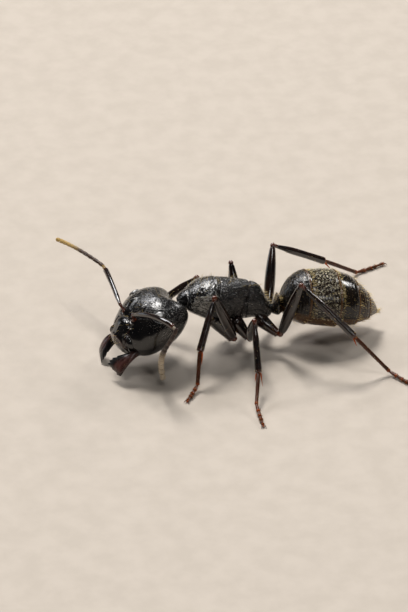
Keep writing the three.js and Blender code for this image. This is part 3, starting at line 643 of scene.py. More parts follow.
def head_detail(l, f, u):
    """sculpted heights over the plain capsule, in mm, and the red-brown tone of its edges, which along the clypeus rim
    is a painted highlight line
    """
    a, top = np.abs(l), smooth(-0.05, 0.30, u)
    low = smooth(-0.05, -0.35, u)
    d = np.zeros_like(l)
    # clypeus: a shield with a clear seam, a low keel and a thickened front edge
    side = 0.60 + 0.10 * smooth(1.15, 1.65, f) - 0.16 * smooth(1.0, 0.66, f)
    back = 0.70 + 0.20 * (l / 0.6) ** 2
    inside = np.minimum(side - a, f - back)
    d += top * (0.055 * smooth(-0.02, 0.16, inside) - 0.050 * hill(inside / 0.030))
    d += top * 0.018 * hill(l / 0.05) * smooth(0.0, 0.2, inside)
    d += top * 0.040 * hill((inside + 0.050) / 0.030) * smooth(0.75, 0.95, f)
    oval = np.hypot((a - 0.74) / 0.24, (f - 1.38) / 0.17)
    d += smooth(-0.3, 0.1, u) * (0.085 * smooth(1.05, 0.25, oval) - 0.045 * hill((oval - 1.15) / 0.14))
    d += top * 0.030 * hill((f - 1.52) / 0.05) * smooth(0.75, 0.45, a)
    # frontal ridges, S-shaped, standing over the feeler sockets
    path = 0.235 + 0.235 * smooth(0.60, -0.10, f) - 0.05 * smooth(-0.10, -0.45, f)
    reach = smooth(0.72, 0.58, f) * smooth(-0.42, -0.05, f)
    e = a - path
    d += top * reach * (0.085 * hill(e / 0.048) + 0.045 * smooth(0.10, -0.06, e) * smooth(0.35, 0.0, path - a))
    d -= top * reach * 0.075 * hill((e - 0.105) / 0.060)
    # feeler sockets
    r = np.hypot(a - SOCKET_PLACE[0], f - SOCKET_PLACE[1])
    d -= top * 0.13 * smooth(0.175, 0.07, r)
    d += top * 0.040 * hill((r - 0.205) / 0.030)
    # groove from the socket forward along the cheek seam, and the tentorial pit
    d -= top * 0.050 * hill(np.hypot(a - 0.62, f - 0.86) / 0.055)
    # frontal triangle and fine middle line
    d -= top * 0.035 * hill(np.hypot(l / 0.14, (f - 0.55) / 0.12))
    d -= top * 0.013 * hill(l / 0.014) * smooth(0.50, 0.36, f) * smooth(-0.55, -0.15, f)
    # cheeks: slightly hollow between the eye and the jaw, and a bead along the jaw's edge
    d -= 0.020 * hill(np.hypot((a - 1.30) / 0.26, (f - 0.72) / 0.5)) * smooth(-0.7, 0.1, u)
    # seat of the eye
    ex, ey = (a - EYE_PLACE[0]) / (EYE_WIDTH / 2), (f - EYE_PLACE[1]) / (EYE_LENGTH / 2)
    er = np.hypot(ex, ey)
    d -= top * 0.045 * hill((er - 1.05) / 0.11)
    d += top * 0.010 * hill((er - 1.28) / 0.12)
    # rear corners and the nape
    d -= 0.020 * hill(l / 0.10) * smooth(-1.0, -1.5, f) * smooth(0.0, 0.5, u)
    # underside: throat line and mouth hollow
    d -= low * 0.035 * hill(l / 0.05) * smooth(1.1, 0.7, f) * smooth(-1.5, -1.1, f)
    d -= low * 0.16 * smooth(1.25, 0.55, np.hypot(l / 0.48, (f - 1.18) / 0.44))
    d += low * 0.035 * hill((np.hypot(l / 0.52, (f - 1.16) / 0.50) - 1.18) / 0.10)
    # jaw sockets at the front corners
    d -= 0.05 * hill(np.hypot(a - 0.95, f - 1.46) / 0.15) * smooth(0.2, -0.1, u)
    # tone: the red-brown of the feeler sockets and the front edge is the shell's own colour; the lighter band along the
    # clypeus rim is a painted highlight line
    tone = 0.45 * smooth(0.26, 0.0, r) * top + 0.40 * hill((f - 1.58) / 0.06) * smooth(0.8, 0.5, a) + 0.25 * hill((inside + 0.05) / 0.03) * top * smooth(0.75, 0.95, f)
    return d, np.clip(tone, 0, 1)


def make_head():
    rings, around = 230, 300
    P, S, PH, l, f, u = body_tube(HEAD_PROFILE, HEAD_POWER, HEAD, HEAD_PROFILE.lo, HEAD_PROFILE.hi, rings, around, head_shift)
    tube = Tube(P)
    d, tone = head_detail(l, f, u)
    fade = smooth(HEAD_PROFILE.lo, HEAD_PROFILE.lo + 0.06, S) * smooth(HEAD_PROFILE.hi, HEAD_PROFILE.hi - 0.03, S)
    tube.push(d * fade)
    tube.tone = tone
    tube.l, tube.f, tube.u = l, f, u
    # the crown and nape are dull and pitted, the cheeks, face shield and sides polished
    tube.grain = np.clip(smooth(0.30, -0.50, f + 0.25 * np.abs(l)) * smooth(-0.15, 0.35, u) + 0.45 * smooth(-0.7, -1.2, f) * smooth(-0.5, 0.0, u), 0, 1)
    piece(join("head_capsule", [tube], HEAD_BLACK), "shell", "head")
    return tube


def eye_base(side):
    l, f = EYE_PLACE
    e = 0.02
    u = float(head_top(l, f))
    du = float(head_top(l + e, f) - head_top(l - e, f)) / (2 * e)
    df = float(head_top(l, f + e) - head_top(l, f - e)) / (2 * e)
    n = unit([-du, -df, 1.0])
    a0 = np.array([-0.12, 1.0, 0.0])
    along = unit(a0 - (a0 @ n) * n)
    across = np.cross(along, n)
    return np.array([l, f, u]), along, across, n, side


def make_eye(side, name, node):
    c, along, across, n, _ = eye_base(side)
    th = np.linspace(0.0, 1.0, 40)[1:]
    ph = np.arange(64) / 64 * 2 * np.pi
    R, PH = np.meshgrid(th, ph, indexing="ij")
    # a low dome, egg-shaped, with a rounded rim that dips into its seat
    x = R * np.sin(PH) * (1 + 0.05 * np.cos(PH))
    y = R * np.cos(PH)
    z = np.sqrt(np.clip(1 - R ** 3.4, 0, 1))
    q = c + (y * (EYE_LENGTH / 2))[..., None] * along + (x * (EYE_WIDTH / 2))[..., None] * across + (z * (EYE_BULGE + 0.035) - 0.030)[..., None] * n
    under = c + 0.9 * (y[-1:] * (EYE_LENGTH / 2))[..., None] * along + 0.9 * (x[-1:] * (EYE_WIDTH / 2))[..., None] * across - 0.10 * n
    q = np.concatenate([q, under])
    q[..., 0] *= side
    t = Tube(in_head(q))
    # outward by the dome, not by ring centres
    out = in_head(np.array([[[side * n[0], n[1], n[2]]]])) - in_head(np.zeros((1, 1, 3)))
    if (t.N[:20] * out).sum() < 0:
        t.sign, t.N = -t.sign, -t.N
    return piece(join(name, [t], EYE), "eye", node)


MANDIBLES = {
    "l": dict(side=1, turn=18.5, drop=15.8, tilt=-9.2),
    "r": dict(side=-1, turn=46.3, drop=17.7, tilt=16.8)}
JAW_LENGTH, JAW_WIDTH, JAW_THICK, JAW_TEETH, JAW_CURL, JAW_ARCH = 1.507, 1.037, 0.28, 5, 0.43, 0.213


def jaw_frame(side, turn, drop, tilt):
    a, d, t = turn * DEG, drop * DEG, tilt * DEG
    out = np.array([math.sin(a) * math.cos(d), math.cos(a) * math.cos(d), -math.sin(d)])
    level = np.array([-math.cos(a), math.sin(a), 0.0])
    over = unit(np.cross(level, out))
    over = -over if over[2] < 0 else over
    inward = level * math.cos(t) - over * math.sin(t)
    face = over * math.cos(t) + level * math.sin(t)
    return out, inward, face, over


def make_mandible(key):
    m = MANDIBLES[key]
    side = m["side"]
    out, inward, face, over = jaw_frame(side, m["turn"], m["drop"], m["tilt"])
    base = np.array(MANDIBLE_BASE)
    s = np.linspace(0, 1, 110)
    phi = np.arange(72) / 72 * 2 * np.pi
    S, PH = np.meshgrid(s, phi, indexing="ij")
    # a section that is thick at the outer edge and thin at the cutting edge
    cx, cz = np.cos(PH), np.sin(PH)
    k = (np.abs(cx) ** 2.5 + np.abs(cz) ** 2.5) ** (-1 / 2.5)
    x, z = cx * k, cz * k
    bend = JAW_CURL * S * S
    wide = JAW_WIDTH * (0.42 + 0.62 * smooth(0.1, 0.62, S)) * (1 - 0.714 * smooth(0.733, 1, S)) * (0.45 + 0.55 * ends(S, 0.03, 0.05))
    thick = JAW_THICK * (1.25 - 0.75 * S) * (0.35 + 0.65 * smooth(0, 0.08, S)) * (1 - 0.4 * smooth(0.85, 1, S))
    blade = smooth(0.25, 0.55, S)
    edge = np.clip((x + 1) / 2, 0, 1)
    thick = thick * (1 - blade * 0.72 * edge ** 1.6) * (0.25 + 0.75 * ends(S, 0.02, 0.05))
    # teeth along the inner edge, longest at the tip
    v = np.clip((S - 0.40) / 0.60, 0, 1) * JAW_TEETH
    saw = 1 - 2 * np.abs((v + 0.5) % 1.0 - 0.5)
    tooth = (0.075 + 0.045 * S) * (1 - saw ** 1.3) * smooth(0.40, 0.46, S) * smooth(1.0, 0.95, S)
    across = bend + wide / 2 - 0.12 + (wide / 2) * x - np.where(x > 0, x ** 3, 0) * tooth
    hump = 0.060 * (1 - edge) * smooth(0.0, 0.3, S) * np.maximum(z, 0)
    groove = -0.014 * hill((edge - 0.30) / 0.05) * np.maximum(z, 0) * smooth(0.2, 0.4, S) * smooth(0.95, 0.8, S)
    groove = groove - 0.010 * hill((edge - 0.52) / 0.04) * np.maximum(z, 0) * smooth(0.3, 0.5, S) * smooth(0.9, 0.75, S)
    q = base + (S * JAW_LENGTH - 0.14 - 0.25 * bend)[..., None] * out + across[..., None] * inward \
        + (z * thick / 2 + hump + groove)[..., None] * face + (JAW_ARCH * np.sin(np.pi * S))[..., None] * over
    q[..., 0] *= side
    tone = np.clip(smooth(0.30, 0.06, S) * 0.9 + smooth(0.46, 0.66, edge) * smooth(0.10, 0.25, S) * smooth(0.95, 0.72, S) + 0.6 * smooth(0.88, 1.0, S), 0, 1)
    t = Tube(in_head(q), tone)
    # the joint knob at the base
    kn = np.linspace(0, 1, 18)
    KP, KS, KPH = limb(lambda u: in_head(np.array([side, 1, 1]) * (base + (-0.22 + 0.30 * u)[:, None] * out + 0.10 * inward)), lambda w: 0.17 * ends(w, 0.5, 0.5) + 0.004, 18, 28, side=HEAD[3])
    knob = Tube(KP, 1.0)
    return t, knob, q


def make_jaws():
    tubes = {}
    for key in "lr":
        t, knob, _ = make_mandible(key)
        tubes[key] = t
        piece(join("mandible_" + ("left" if key == "l" else "right"), [t, knob], JAW), "jaw", "mandible_" + key)
    return tubes


def make_mouth():
    """lip plate, tongue base and the jointed palps under the mouth"""
    tubes = []
    P, _, _ = limb(lambda t: in_head(np.stack([0 * t, 1.22 + 0.42 * t, -0.10 - 0.20 * t], -1)), lambda s: 0.30 * ends(s, 0.3, 0.35) + 0.01, 26, 36, side=HEAD[1], flat=1.0, section=lambda S, PH: 1 - 0.55 * np.abs(np.sin(PH)))
    tubes.append(Tube(P, 0.2))
    P, _, _ = limb(lambda t: in_head(np.stack([0 * t, 0.66 + 0.66 * t, -0.62 + 0.14 * t], -1)), lambda s: 0.24 * ends(s, 0.25, 0.25) + 0.01, 26, 32, side=HEAD[1], section=lambda S, PH: 1 - 0.35 * np.abs(np.sin(PH)))
    tubes.append(Tube(P, 0.1))
    for side in (1, -1):
        lengths = [0.10, 0.13, 0.17, 0.18, 0.16, 0.14]
        p, ang = np.array([0.26 * side, 1.02, -0.60]), 0.9
        for i, L in enumerate(lengths):
            d = unit([side * (0.30 - 0.10 * i), math.cos(ang), -math.sin(ang) * 0.7])
            q = p + d * L
            a, b = p.copy(), q.copy()
            P, _, _ = limb(lambda t, a=a, b=b: in_head(a + (b - a) * t[:, None]), lambda s, i=i: (0.036 - 0.002 * i) * (0.75 + 0.35 * s) * ends(s, 0.12, 0.12) + 0.003, 12, 14, side=HEAD[3])
            tubes.append(Tube(P, 0.55))
            p = q - d * 0.012
            ang += 0.48
        p, ang = np.array([0.11 * side, 1.24, -0.52]), 0.9
        for i, L in enumerate([0.09, 0.11, 0.10, 0.11]):
            d = unit([side * 0.20, math.cos(ang), -math.sin(ang) * 0.7])
            q = p + d * L
            a, b = p.copy(), q.copy()
            P, _, _ = limb(lambda t, a=a, b=b: in_head(a + (b - a) * t[:, None]), lambda s: 0.028 * (0.75 + 0.35 * s) * ends(s, 0.12, 0.12) + 0.003, 10, 12, side=HEAD[3])
            tubes.append(Tube(P, 0.55))
            p = q - d * 0.01
            ang += 0.35
    return piece(join("mouthparts", tubes, FEELER), "feeler")


# ------------------------------------------------------------------ feelers
SCAPE_LENGTH = 3.25
ANTENNAE = {
    "l": dict(side=1, elbow=(2.62, 1.24, 0.76), tip=(2.52, -3.69, 0.26), bow=0.55, sags=((0.11, -0.30, -0.30), (-0.46, -0.37, 0.61))),
    "r": dict(side=-1, elbow=(-3.05, 0.02, 0.10), tip=(-7.15, -6.52, 2.62), bow=0.16, sags=((-0.10, -0.10, 0.22), (-0.08, -0.08, 0.176)))}


def feeler_curves(key):
    g = ANTENNAE[key]
    l, f = SOCKET_PLACE
    s0 = in_head(np.array([g["side"] * (l + 0.02), f, float(head_top(l, f)) + 0.30]))
    root = in_head(np.array([g["side"] * l, f, float(head_top(l, f)) - 0.07]))
    d = unit(g["elbow"])
    e = s0 + d * SCAPE_LENGTH
    mid = (s0 + e) / 2 + np.array([0, 0, g["bow"]])
    scape = bezier2(s0, mid, e)
    tip, k = np.array(g["tip"]), e + d * 0.20
    fun = bezier3(k, k + (tip - k) * 0.30 + np.array(g["sags"][0]), k + (tip - k) * 0.72 + np.array(g["sags"][1]), tip)
    return root, s0, e, scape, fun


def make_feeler(key):
    root, s0, e, scape, fun = feeler_curves(key)
    name = "left" if key == "l" else "right"
    # ball joint and neck of the scape, then its long shaft
    p1 = scape(np.array([0.055]))[0]
    neck = bezier2(root, root * 0.45 + s0 * 0.55, p1)
    def neck_radius(s):
        return 0.060 + 0.060 * hill((s - 0.12) / 0.13) + 0.020 * smooth(0.55, 1.0, s)
    NP, _, _ = limb(neck, neck_radius, 26, 26, side=(0.3, 1, 0))
    parts = [Tube(NP, 0.5)]
    radius = lambda s: (0.080 + 0.036 * smooth(0.03, 0.22, s) + 0.018 * smooth(0.4, 0.95, s)) * (0.5 + 0.5 * ends(s, 0.02, 0.035))
    SP, S, PH = limb(scape, radius, 120, 30, side=(0, 1, 0), t0=0.04, t1=0.985, flat=0.94)
    shaft = Tube(SP, 0.45 * smooth(0.93, 1.0, S) + 0.4 * smooth(0.06, 0.0, S))
    parts.append(shaft)
    piece(join("scape_" + name, parts, LEG_BLACK), "feeler", "scape_" + key)
    # eleven joints: a short pedicel, then rods that shorten and thin to a rounded club
    lengths = np.array([1.05, 1.42, 1.22, 1.18, 1.12, 1.06, 1.0, 0.95, 0.92, 0.90, 1.20])
    cuts = np.concatenate([[0], np.cumsum(lengths)]) / lengths.sum()
    tt = np.linspace(0, 1, 400)
    pts = fun(tt)
    arc = np.concatenate([[0], np.cumsum(np.linalg.norm(np.diff(pts, axis=0), axis=1))])
    arc /= arc[-1]
    to_t = lambda x: np.interp(x, arc, tt)
    start = -0.06
    joints, sheets = [], []
    for i in range(11):
        a, b = (cuts[i], cuts[i + 1])
        r0 = 0.106 + 0.032 * smooth(2, 6, i) - 0.008 * smooth(8, 10, i) if key == "l" else 0.088 + 0.010 * smooth(6, 9, i)
        last = i == 10
        def radius(s, r0=r0, last=last, i=i):
            swell = 0.76 + 0.24 * smooth(0.0, 0.62, s) if i else 0.62 + 0.38 * smooth(0.0, 0.7, s)
            tip = ends(s, 0.05, 0.055) if not last else ends(s, 0.05, 0.36)
            return r0 * swell * (0.42 + 0.58 * tip) * (1 if not last else 0.35 + 0.65 * ends(s, 0.05, 0.30))
        c = lambda t, a=a, b=b: fun(to_t(a + (b - a) * t))
        JP, JS, _ = limb(c, radius, 22 if not last else 30, 22, side=(0.3, 1, 0.2))
        # outer joints turn to the tint: the near feeler's whitish is a painted highlight, the far feeler's gold its own
        # tan colour; darker joint ends are their own colour
        j = Tube(JP, np.clip(smooth(4.0, 7.6, i + JS) * (1 - 0.85 * smooth(0.80, 0.98, JS) - 0.85 * smooth(0.16, 0.02, JS)) + 0.10 * smooth(0.6, 1.0, JS), 0, 1))
        joints.append(j)
        sheets.append(j)
    # elbow: the pedicel's ball in the scape's end
    BP, _, _ = limb(lambda t: scape(np.array([0.965]))[0] + (fun(np.array([0.03]))[0] - scape(np.array([0.965]))[0]) * t[:, None], lambda s: 0.060 + 0.020 * hill((s - 0.5) / 0.3), 16, 22, side=(0.3, 1, 0.2))
    joints.append(Tube(BP, 0.5))
    # near feeler in the whitish painted-highlight tint, far feeler in its own golden tan
    piece(join("funiculus_" + name, joints, FEELER if key == "l" else FEELER_GOLD), "feeler", "funiculus_base_" + key, "funiculus_tip_" + key)
    return shaft, sheets


# ------------------------------------------------------------------ trunk
TRUNK_FRONT, TRUNK_REAR = np.array([0, -1.95, 2.29]), np.array([0, 1.95, 1.55])
TRUNK_STATIONS = [
    [-2.08, 0.00, 0.16, 0.00], [-1.98, 0.28, 0.18, 0.30], [-1.80, 0.46, 0.24, 0.42], [-1.45, 0.57, 0.43, 0.66],
    [-1.10, 0.62, 0.57, 0.85], [-0.60, 0.68, 0.63, 0.96], [0.00, 0.79, 0.63, 1.00], [0.55, 0.92, 0.64, 0.99],
    [1.05, 1.00, 0.66, 0.92], [1.50, 0.97, 0.68, 0.82], [1.90, 0.78, 0.60, 0.62], [2.18, 0.54, 0.54, 0.43], [2.42, 0.34, 0.51, 0.27], [2.57, 0.00, 0.48, 0.00]]
TRUNK_POWER = 2.1
PRONOTUM_REAR, MESOTHORAX_REAR, SUTURE_SLANT = 1.02, -0.52, 0.22


def axes_between(front, rear, forward):
    along = unit(front - rear) * (1 if forward else -1)
    left = unit(np.array([1.0, 0, 0]) - along[0] * along)
    up = np.cross(left, along)
    up = -up if up[2] < 0 else up
    return left, along, up


TRUNK = ((TRUNK_FRONT + TRUNK_REAR) / 2, *axes_between(TRUNK_FRONT, TRUNK_REAR, True))
TRUNK_PROFILE = Profile(TRUNK_STATIONS)


def trunk_shift(l, f, u):
    rear, high = smooth(0.4, -1.2, f), smooth(0.5, 1.5, u)
    l = l * (1 - 0.30 * rear * high)
    f = f - SUTURE_SLANT * (u - 0.63) * smooth(2.2, 1.0, f) * smooth(-1.9, -0.6, f)
    return l, f, u


def trunk_detail(S, PH):
    a = np.abs((PH + np.pi) % (2 * np.pi) - np.pi) / DEG       # angle from the middle of the back
    d = np.zeros_like(S)
    tone = np.zeros_like(S)
    upper = smooth(165, 140, a)
    # rear edge of the first plate overlaps the second
    s1 = PRONOTUM_REAR + 0.10 * smooth(20, 60, a) - 0.16 * smooth(80, 135, a)
    e = S - s1
    d += upper * (0.055 * smooth(0.0, 0.05, e) * smooth(0.60, 0.12, e) - 0.110 * hill((e + 0.026) / 0.042))
    tone += 0.35 * hill((e - 0.015) / 0.03) * upper
    # pronotum: lower edge with a bead, shoulder swelling
    low = a - (112 - 10 * (S - 1.6))
    front = smooth(1.15, 1.3, S)
    d += front * (0.030 * hill(low / 5.0) - 0.055 * hill((low - 9) / 5.0))
    d += 0.020 * hill((S - 1.55) / 0.35) * hill((a - 75) / 30)
    d -= 0.035 * hill((S - 2.16) / 0.045) * smooth(2.25, 2.2, S)
    # second plate: a disc on the back, edged by a fine line each side
    mid = smooth(PRONOTUM_REAR - 0.02, PRONOTUM_REAR - 0.12, S) * smooth(MESOTHORAX_REAR, MESOTHORAX_REAR + 0.10, S)
    line = a - (50 - 12 * smooth(0.6, -0.5, S))
    d += mid * (-0.018 * hill(line / 3.0) + 0.018 * smooth(0, -12, line))
    # groove between the second and third plates, with its cross ribs
    e = S - (MESOTHORAX_REAR + 0.05 * smooth(30, 90, a))
    d -= smooth(135, 110, a) * 0.125 * hill(e / 0.065)
    d += smooth(70, 50, a) * 0.016 * hill(e / 0.05) * np.cos(a * DEG * 30)
    tone += 0.25 * hill(e / 0.06) * upper
    # side plate: a full cushion above the middle hip, split by a slanting line
    d += 0.085 * hill(np.hypot((S - 0.28) / 0.44, (a - 104) / 28))
    slant = (S - 0.62) * 0.75 + (a - 92) / 62.0
    d -= 0.040 * hill(slant / 0.055) * smooth(1.0, 0.85, S) * smooth(-0.5, -0.35, S) * smooth(70, 80, a) * smooth(140, 125, a)
    e = S - (-0.42 - 0.0062 * (a - 60))
    d -= 0.080 * hill(e / 0.050) * smooth(58, 68, a) * smooth(150, 138, a)
    # small breathing holes, each an oval rim round a slit
    for s0, a0, big in ((-1.22, 70, 1.0), (-0.47, 58, 0.62), (0.86, 66, 0.55)):
        r = np.hypot((S - s0) / (0.075 * big), (a - a0) / (4.6 * big))
        d += 0.030 * big * hill((r - 1.1) / 0.35) - 0.055 * big * smooth(0.8, 0.3, r)
    # third plate: side groove, gland swelling over the hind hip and a ridge round the waist
    d -= 0.034 * hill((a - 100 - 12 * (S + 1.2)) / 4) * smooth(-0.75, -0.95, S) * smooth(-1.95, -1.75, S)
    d += 0.080 * hill(np.hypot((S + 1.62) / 0.22, (a - 120) / 18))
    d -= 0.030 * hill((a - 131) / 3.0) * hill((S + 1.62) / 0.20)
    d -= 0.045 * hill((S + 1.90) / 0.035)
    # legs' seats underneath
    for s0 in (1.05, 0.05, -1.25):
        d -= 0.05 * hill(np.hypot((S - s0) / 0.30, (a - 155) / 20))
    # middle groove below
    d -= 0.03 * hill((180 - a) / 6) * smooth(1.9, 1.5, S) * smooth(-1.8, -1.4, S)
    tone += 0.35 * smooth(128, 150, a)
    return d, np.clip(tone, 0, 1)


def make_trunk():
    rings, around = 300, 220
    P, S, PH, l, f, u = body_tube(TRUNK_PROFILE, TRUNK_POWER, TRUNK, TRUNK_PROFILE.lo, TRUNK_PROFILE.hi, rings, around, trunk_shift)
    tube = Tube(P)
    d, tone = trunk_detail(S, PH)
    tube.push(d * smooth(TRUNK_PROFILE.lo, TRUNK_PROFILE.lo + 0.05, S) * smooth(TRUNK_PROFILE.hi, TRUNK_PROFILE.hi - 0.05, S))
    tube.tone = tone
    tube.S, tube.PH = S, PH
    a = np.abs((PH + np.pi) % (2 * np.pi) - np.pi) / DEG
    tube.grain = np.clip(0.40 + 0.60 * smooth(1.20, 0.95, S) * smooth(155, 120, a) - 0.15 * smooth(-0.6, -0.9, S), 0, 1)
    piece(join("trunk_shell", [tube], BLACK), "shell", "pronotum", "mesothorax", "propodeum")
    # neck: ringed membrane
    a = in_head(np.array(FORAMEN))
    o, L, A, U = TRUNK
    b = o + A * 2.02 + U * 0.34
    curve = lambda t: b + (a - b) * t[:, None] * 1.06
    P, _, _ = limb(curve, lambda s: 0.30 - 0.05 * np.sin(np.pi * s) + 0.008 * np.cos(s * 40), 60, 48, side=(1, 0, 0))
    piece(join("neck_membrane", [Tube(P, 0.1)], MEMBRANE), "shell", "neck")
    return tube


# ------------------------------------------------------------------ waist
PETIOLE_BASE, PETIOLE_LENGTH, SCALE_HEIGHT, SCALE_WIDTH = np.array([0, 2.00, 1.72]), 0.62, 0.92, 0.80


def make_petiole():
    s = np.linspace(0, 1, 90)
    phi = np.arange(88) / 88 * 2 * np.pi
    S, PH = np.meshgrid(s, phi, indexing="ij")
    x, z = squircle(PH, 2.2)
    node = hill((S - 0.50) / 0.235)
    scale = hill((S - 0.52 - 0.05 * np.maximum(z, 0)) / 0.19)
    zt = np.maximum(z, 0)
    up = np.where(z > 0, 0.19 + (SCALE_HEIGHT - 0.32) * scale, 0.20 + 0.06 * node)
    # an upright scale: its top edge is thin and slightly dished in the middle
    up = up - 0.05 * scale * hill(x / 0.22) * zt
    w = 0.18 + (SCALE_WIDTH / 2 - 0.16) * node
    e = 0.45 + 0.55 * ends(S, 0.10, 0.10)
    P = np.stack([PETIOLE_BASE[0] + x * w * e, PETIOLE_BASE[1] + (-0.10 + 0.86 * S) * 1.0 * (PETIOLE_LENGTH / 0.62) * 0.90 + 0 * x, PETIOLE_BASE[2] + 0.02 * S + z * up * e], -1)
    t = Tube(P)
    rim = hill((S - 0.5) / 0.12) * smooth(0.75, 1.0, z)
    t.tone = np.clip(0.5 * rim + 0.35 * smooth(0.15, 0.0, S) + 0.3 * smooth(0.85, 1.0, S), 0, 1)
    t.push(-0.025 * hill((S - 0.16) / 0.05) - 0.02 * hill((S - 0.86) / 0.05) + 0.02 * hill((S - 0.07) / 0.05))
    piece(join("waist_scale", [t], BLACK), "shell", "petiole")
    return t


# ------------------------------------------------------------------ gaster
GASTER_FRONT, GASTER_TIP = np.array([0, 2.46, 2.22]), np.array([0.02, 7.22, 1.40])
GASTER_STATIONS = [
    [0.00, 0.00, -0.14, 0.00], [0.03, 0.60, -0.06, 0.64], [0.10, 1.02, 0.04, 1.02], [0.22, 1.33, 0.11, 1.23],
    [0.36, 1.47, 0.11, 1.29], [0.50, 1.50, 0.10, 1.28], [0.64, 1.40, 0.04, 1.18], [0.76, 1.17, -0.09, 0.98],
    [0.87, 0.84, -0.22, 0.64], [0.95, 0.46, -0.36, 0.36], [1.00, 0.00, -0.52, 0.00]]
GASTER_POWER = 2.05
GASTER_CUTS = [0, 0.235, 0.53, 0.74, 0.88, 1]
GASTER_LENGTH = float(np.linalg.norm(GASTER_TIP - GASTER_FRONT))
GASTER = (GASTER_FRONT, *axes_between(GASTER_FRONT, GASTER_TIP, False))
GASTER_PROFILE = Profile([[s * GASTER_LENGTH, w, m, h] for s, w, m, h in GASTER_STATIONS])
TERGITE_HALF = [104, 108, 108, 106, 104]


def gaster_sheet(s, phi, extra):
    S, PH = np.meshgrid(s, phi, indexing="ij")
    cx, cz = squircle(PH, GASTER_POWER)
    g = extra(S, PH)
    l, u = (np.maximum(GASTER_PROFILE.w(S) + g, 0.004)) * cx, GASTER_PROFILE.m(S) + np.maximum(GASTER_PROFILE.h(S) + g, 0.004) * cz
    o, L, A, U = GASTER
    return o + l[..., None] * L + S[..., None] * A + u[..., None] * U, S, PH


def make_gaster():
    plates = []
    o, L, A, U = GASTER
    for i in range(5):
        lo, hi = GASTER_CUTS[i] * GASTER_LENGTH, GASTER_CUTS[i + 1] * GASTER_LENGTH
        first, last = i == 0, i == 4
        start = lo - (0.22 if not first else -0.004)
        stop = hi if not last else hi - 0.012
        n = int(46 + 46 * (hi - lo) / 1.4)
        s = np.linspace(start, stop, n) if not first else start + (stop - start) * (1 - np.cos(np.pi / 2 * np.linspace(0.03, 1, n)))
        if last:
            s = start + (stop - start) * np.sin(np.pi / 2 * np.linspace(0, 1, n))
        # a plate's rear edge flares over the next plate, which dips under it
        def extra(S, PH, lo=lo, hi=hi, first=first, last=last):
            g = 0.052 * smooth(lo + 0.1, hi, S) - 0.026
            if not first:
                g = g - 0.075 * smooth(lo + 0.06, lo - 0.10, S)
            if last:
                g = -0.020 - 0.075 * smooth(lo + 0.06, lo - 0.10, S)
            lip = (0.012 * hill((S - (hi - 0.03)) / 0.03) - 0.012 * hill((S - (hi - 0.11)) / 0.04)) if not last else 0.0
            return g + lip
        for kind in ("tergite", "sternite"):
            half = TERGITE_HALF[i] * DEG
            if kind == "tergite":
                phi = np.linspace(-half, half, 150)
                ex = extra
                thick = 0.045
            else:
                phi = np.linspace(half - 12 * DEG, 2 * np.pi - half + 12 * DEG, 96)
                ex = lambda S, PH, extra=extra: extra(S, PH) - 0.050
                thick = 0.040
            P, S, PH = gaster_sheet(s, phi, ex)
            c = o + S[..., None] * A + GASTER_PROFILE.m(S)[..., None] * U
            tip = unit(P - c) + 0.0
            if first:
                tip = tip - A * smooth(0.25, 0.0, S)[..., None]
            if last:
                tip = tip + A * smooth(hi - 0.25, hi, S)[..., None]
            t = Patch(P, thick, outward=tip)
            x = (S - lo) / (hi - lo)
            edge = np.clip((half - np.abs(PH)) / DEG, 0, 90) if kind == "tergite" else np.full_like(S, 90)
            # fine cross wrinkles, a rolled rear rim and shallow dents give the highlights something to catch
            d = 0.0035 * np.sin(S * 46 + 2.0 * np.sin(PH * 3)) * smooth(0.2, 0.6, x) + 0.006 * np.sin(PH * 4 + i) * np.sin(S * 3.1 + i)
            d = d - 0.012 * hill((edge - 5) / 3)
            t.push(d)
            if kind == "tergite":
                t.tone = np.clip(0.75 * smooth(hi - 0.13, hi - 0.03, S) * (0 if last else 1) + 0.55 * smooth(7, 0, edge) + (0, 0.05, 0, 0.12, 0.22)[i], 0, 1)
            else:
                t.tone = np.clip(0.66 + 0.30 * smooth(hi - 0.20, hi - 0.04, S), 0, 1)
            t.S, t.PH, t.x, t.kind, t.i = S, PH, x, kind, i
            t.grain = np.full(S.shape, 0.22 if kind == "sternite" else (0.75, 0.15, 0.0, 0.10, 0.12)[i])
            nodes = [f"gaster_plate_{i + 1}"] if kind == "tergite" else []
            piece(join(f"{kind}_{i + 1}", [t], GASTER_BLACK), "gaster_plate", *nodes)
            plates.append(t)
    # soft skin that shows between the plates, and the nozzle at the tip
    s = np.linspace(0.05, 0.975, 60) * GASTER_LENGTH
    phi = np.arange(64) / 64 * 2 * np.pi
    P, S, PH = gaster_sheet(s, phi, lambda S, PH: -0.13 + 0 * S)
    core = Tube(P, 0.3)
    tip_c = o + A * (GASTER_LENGTH - 0.03) + U * (-0.50)
    P, _, _ = limb(lambda t: tip_c + (-0.16 + 0.20 * t)[:, None] * A - (0.03 * t)[:, None] * U, lambda s: 0.10 - 0.050 * s, 20, 30, side=(1, 0, 0))
    nozzle = Tube(P, 0.8)
    piece(join("gaster_membrane", [core, nozzle], MEMBRANE), "gaster_plate")
    return plates, tip_c


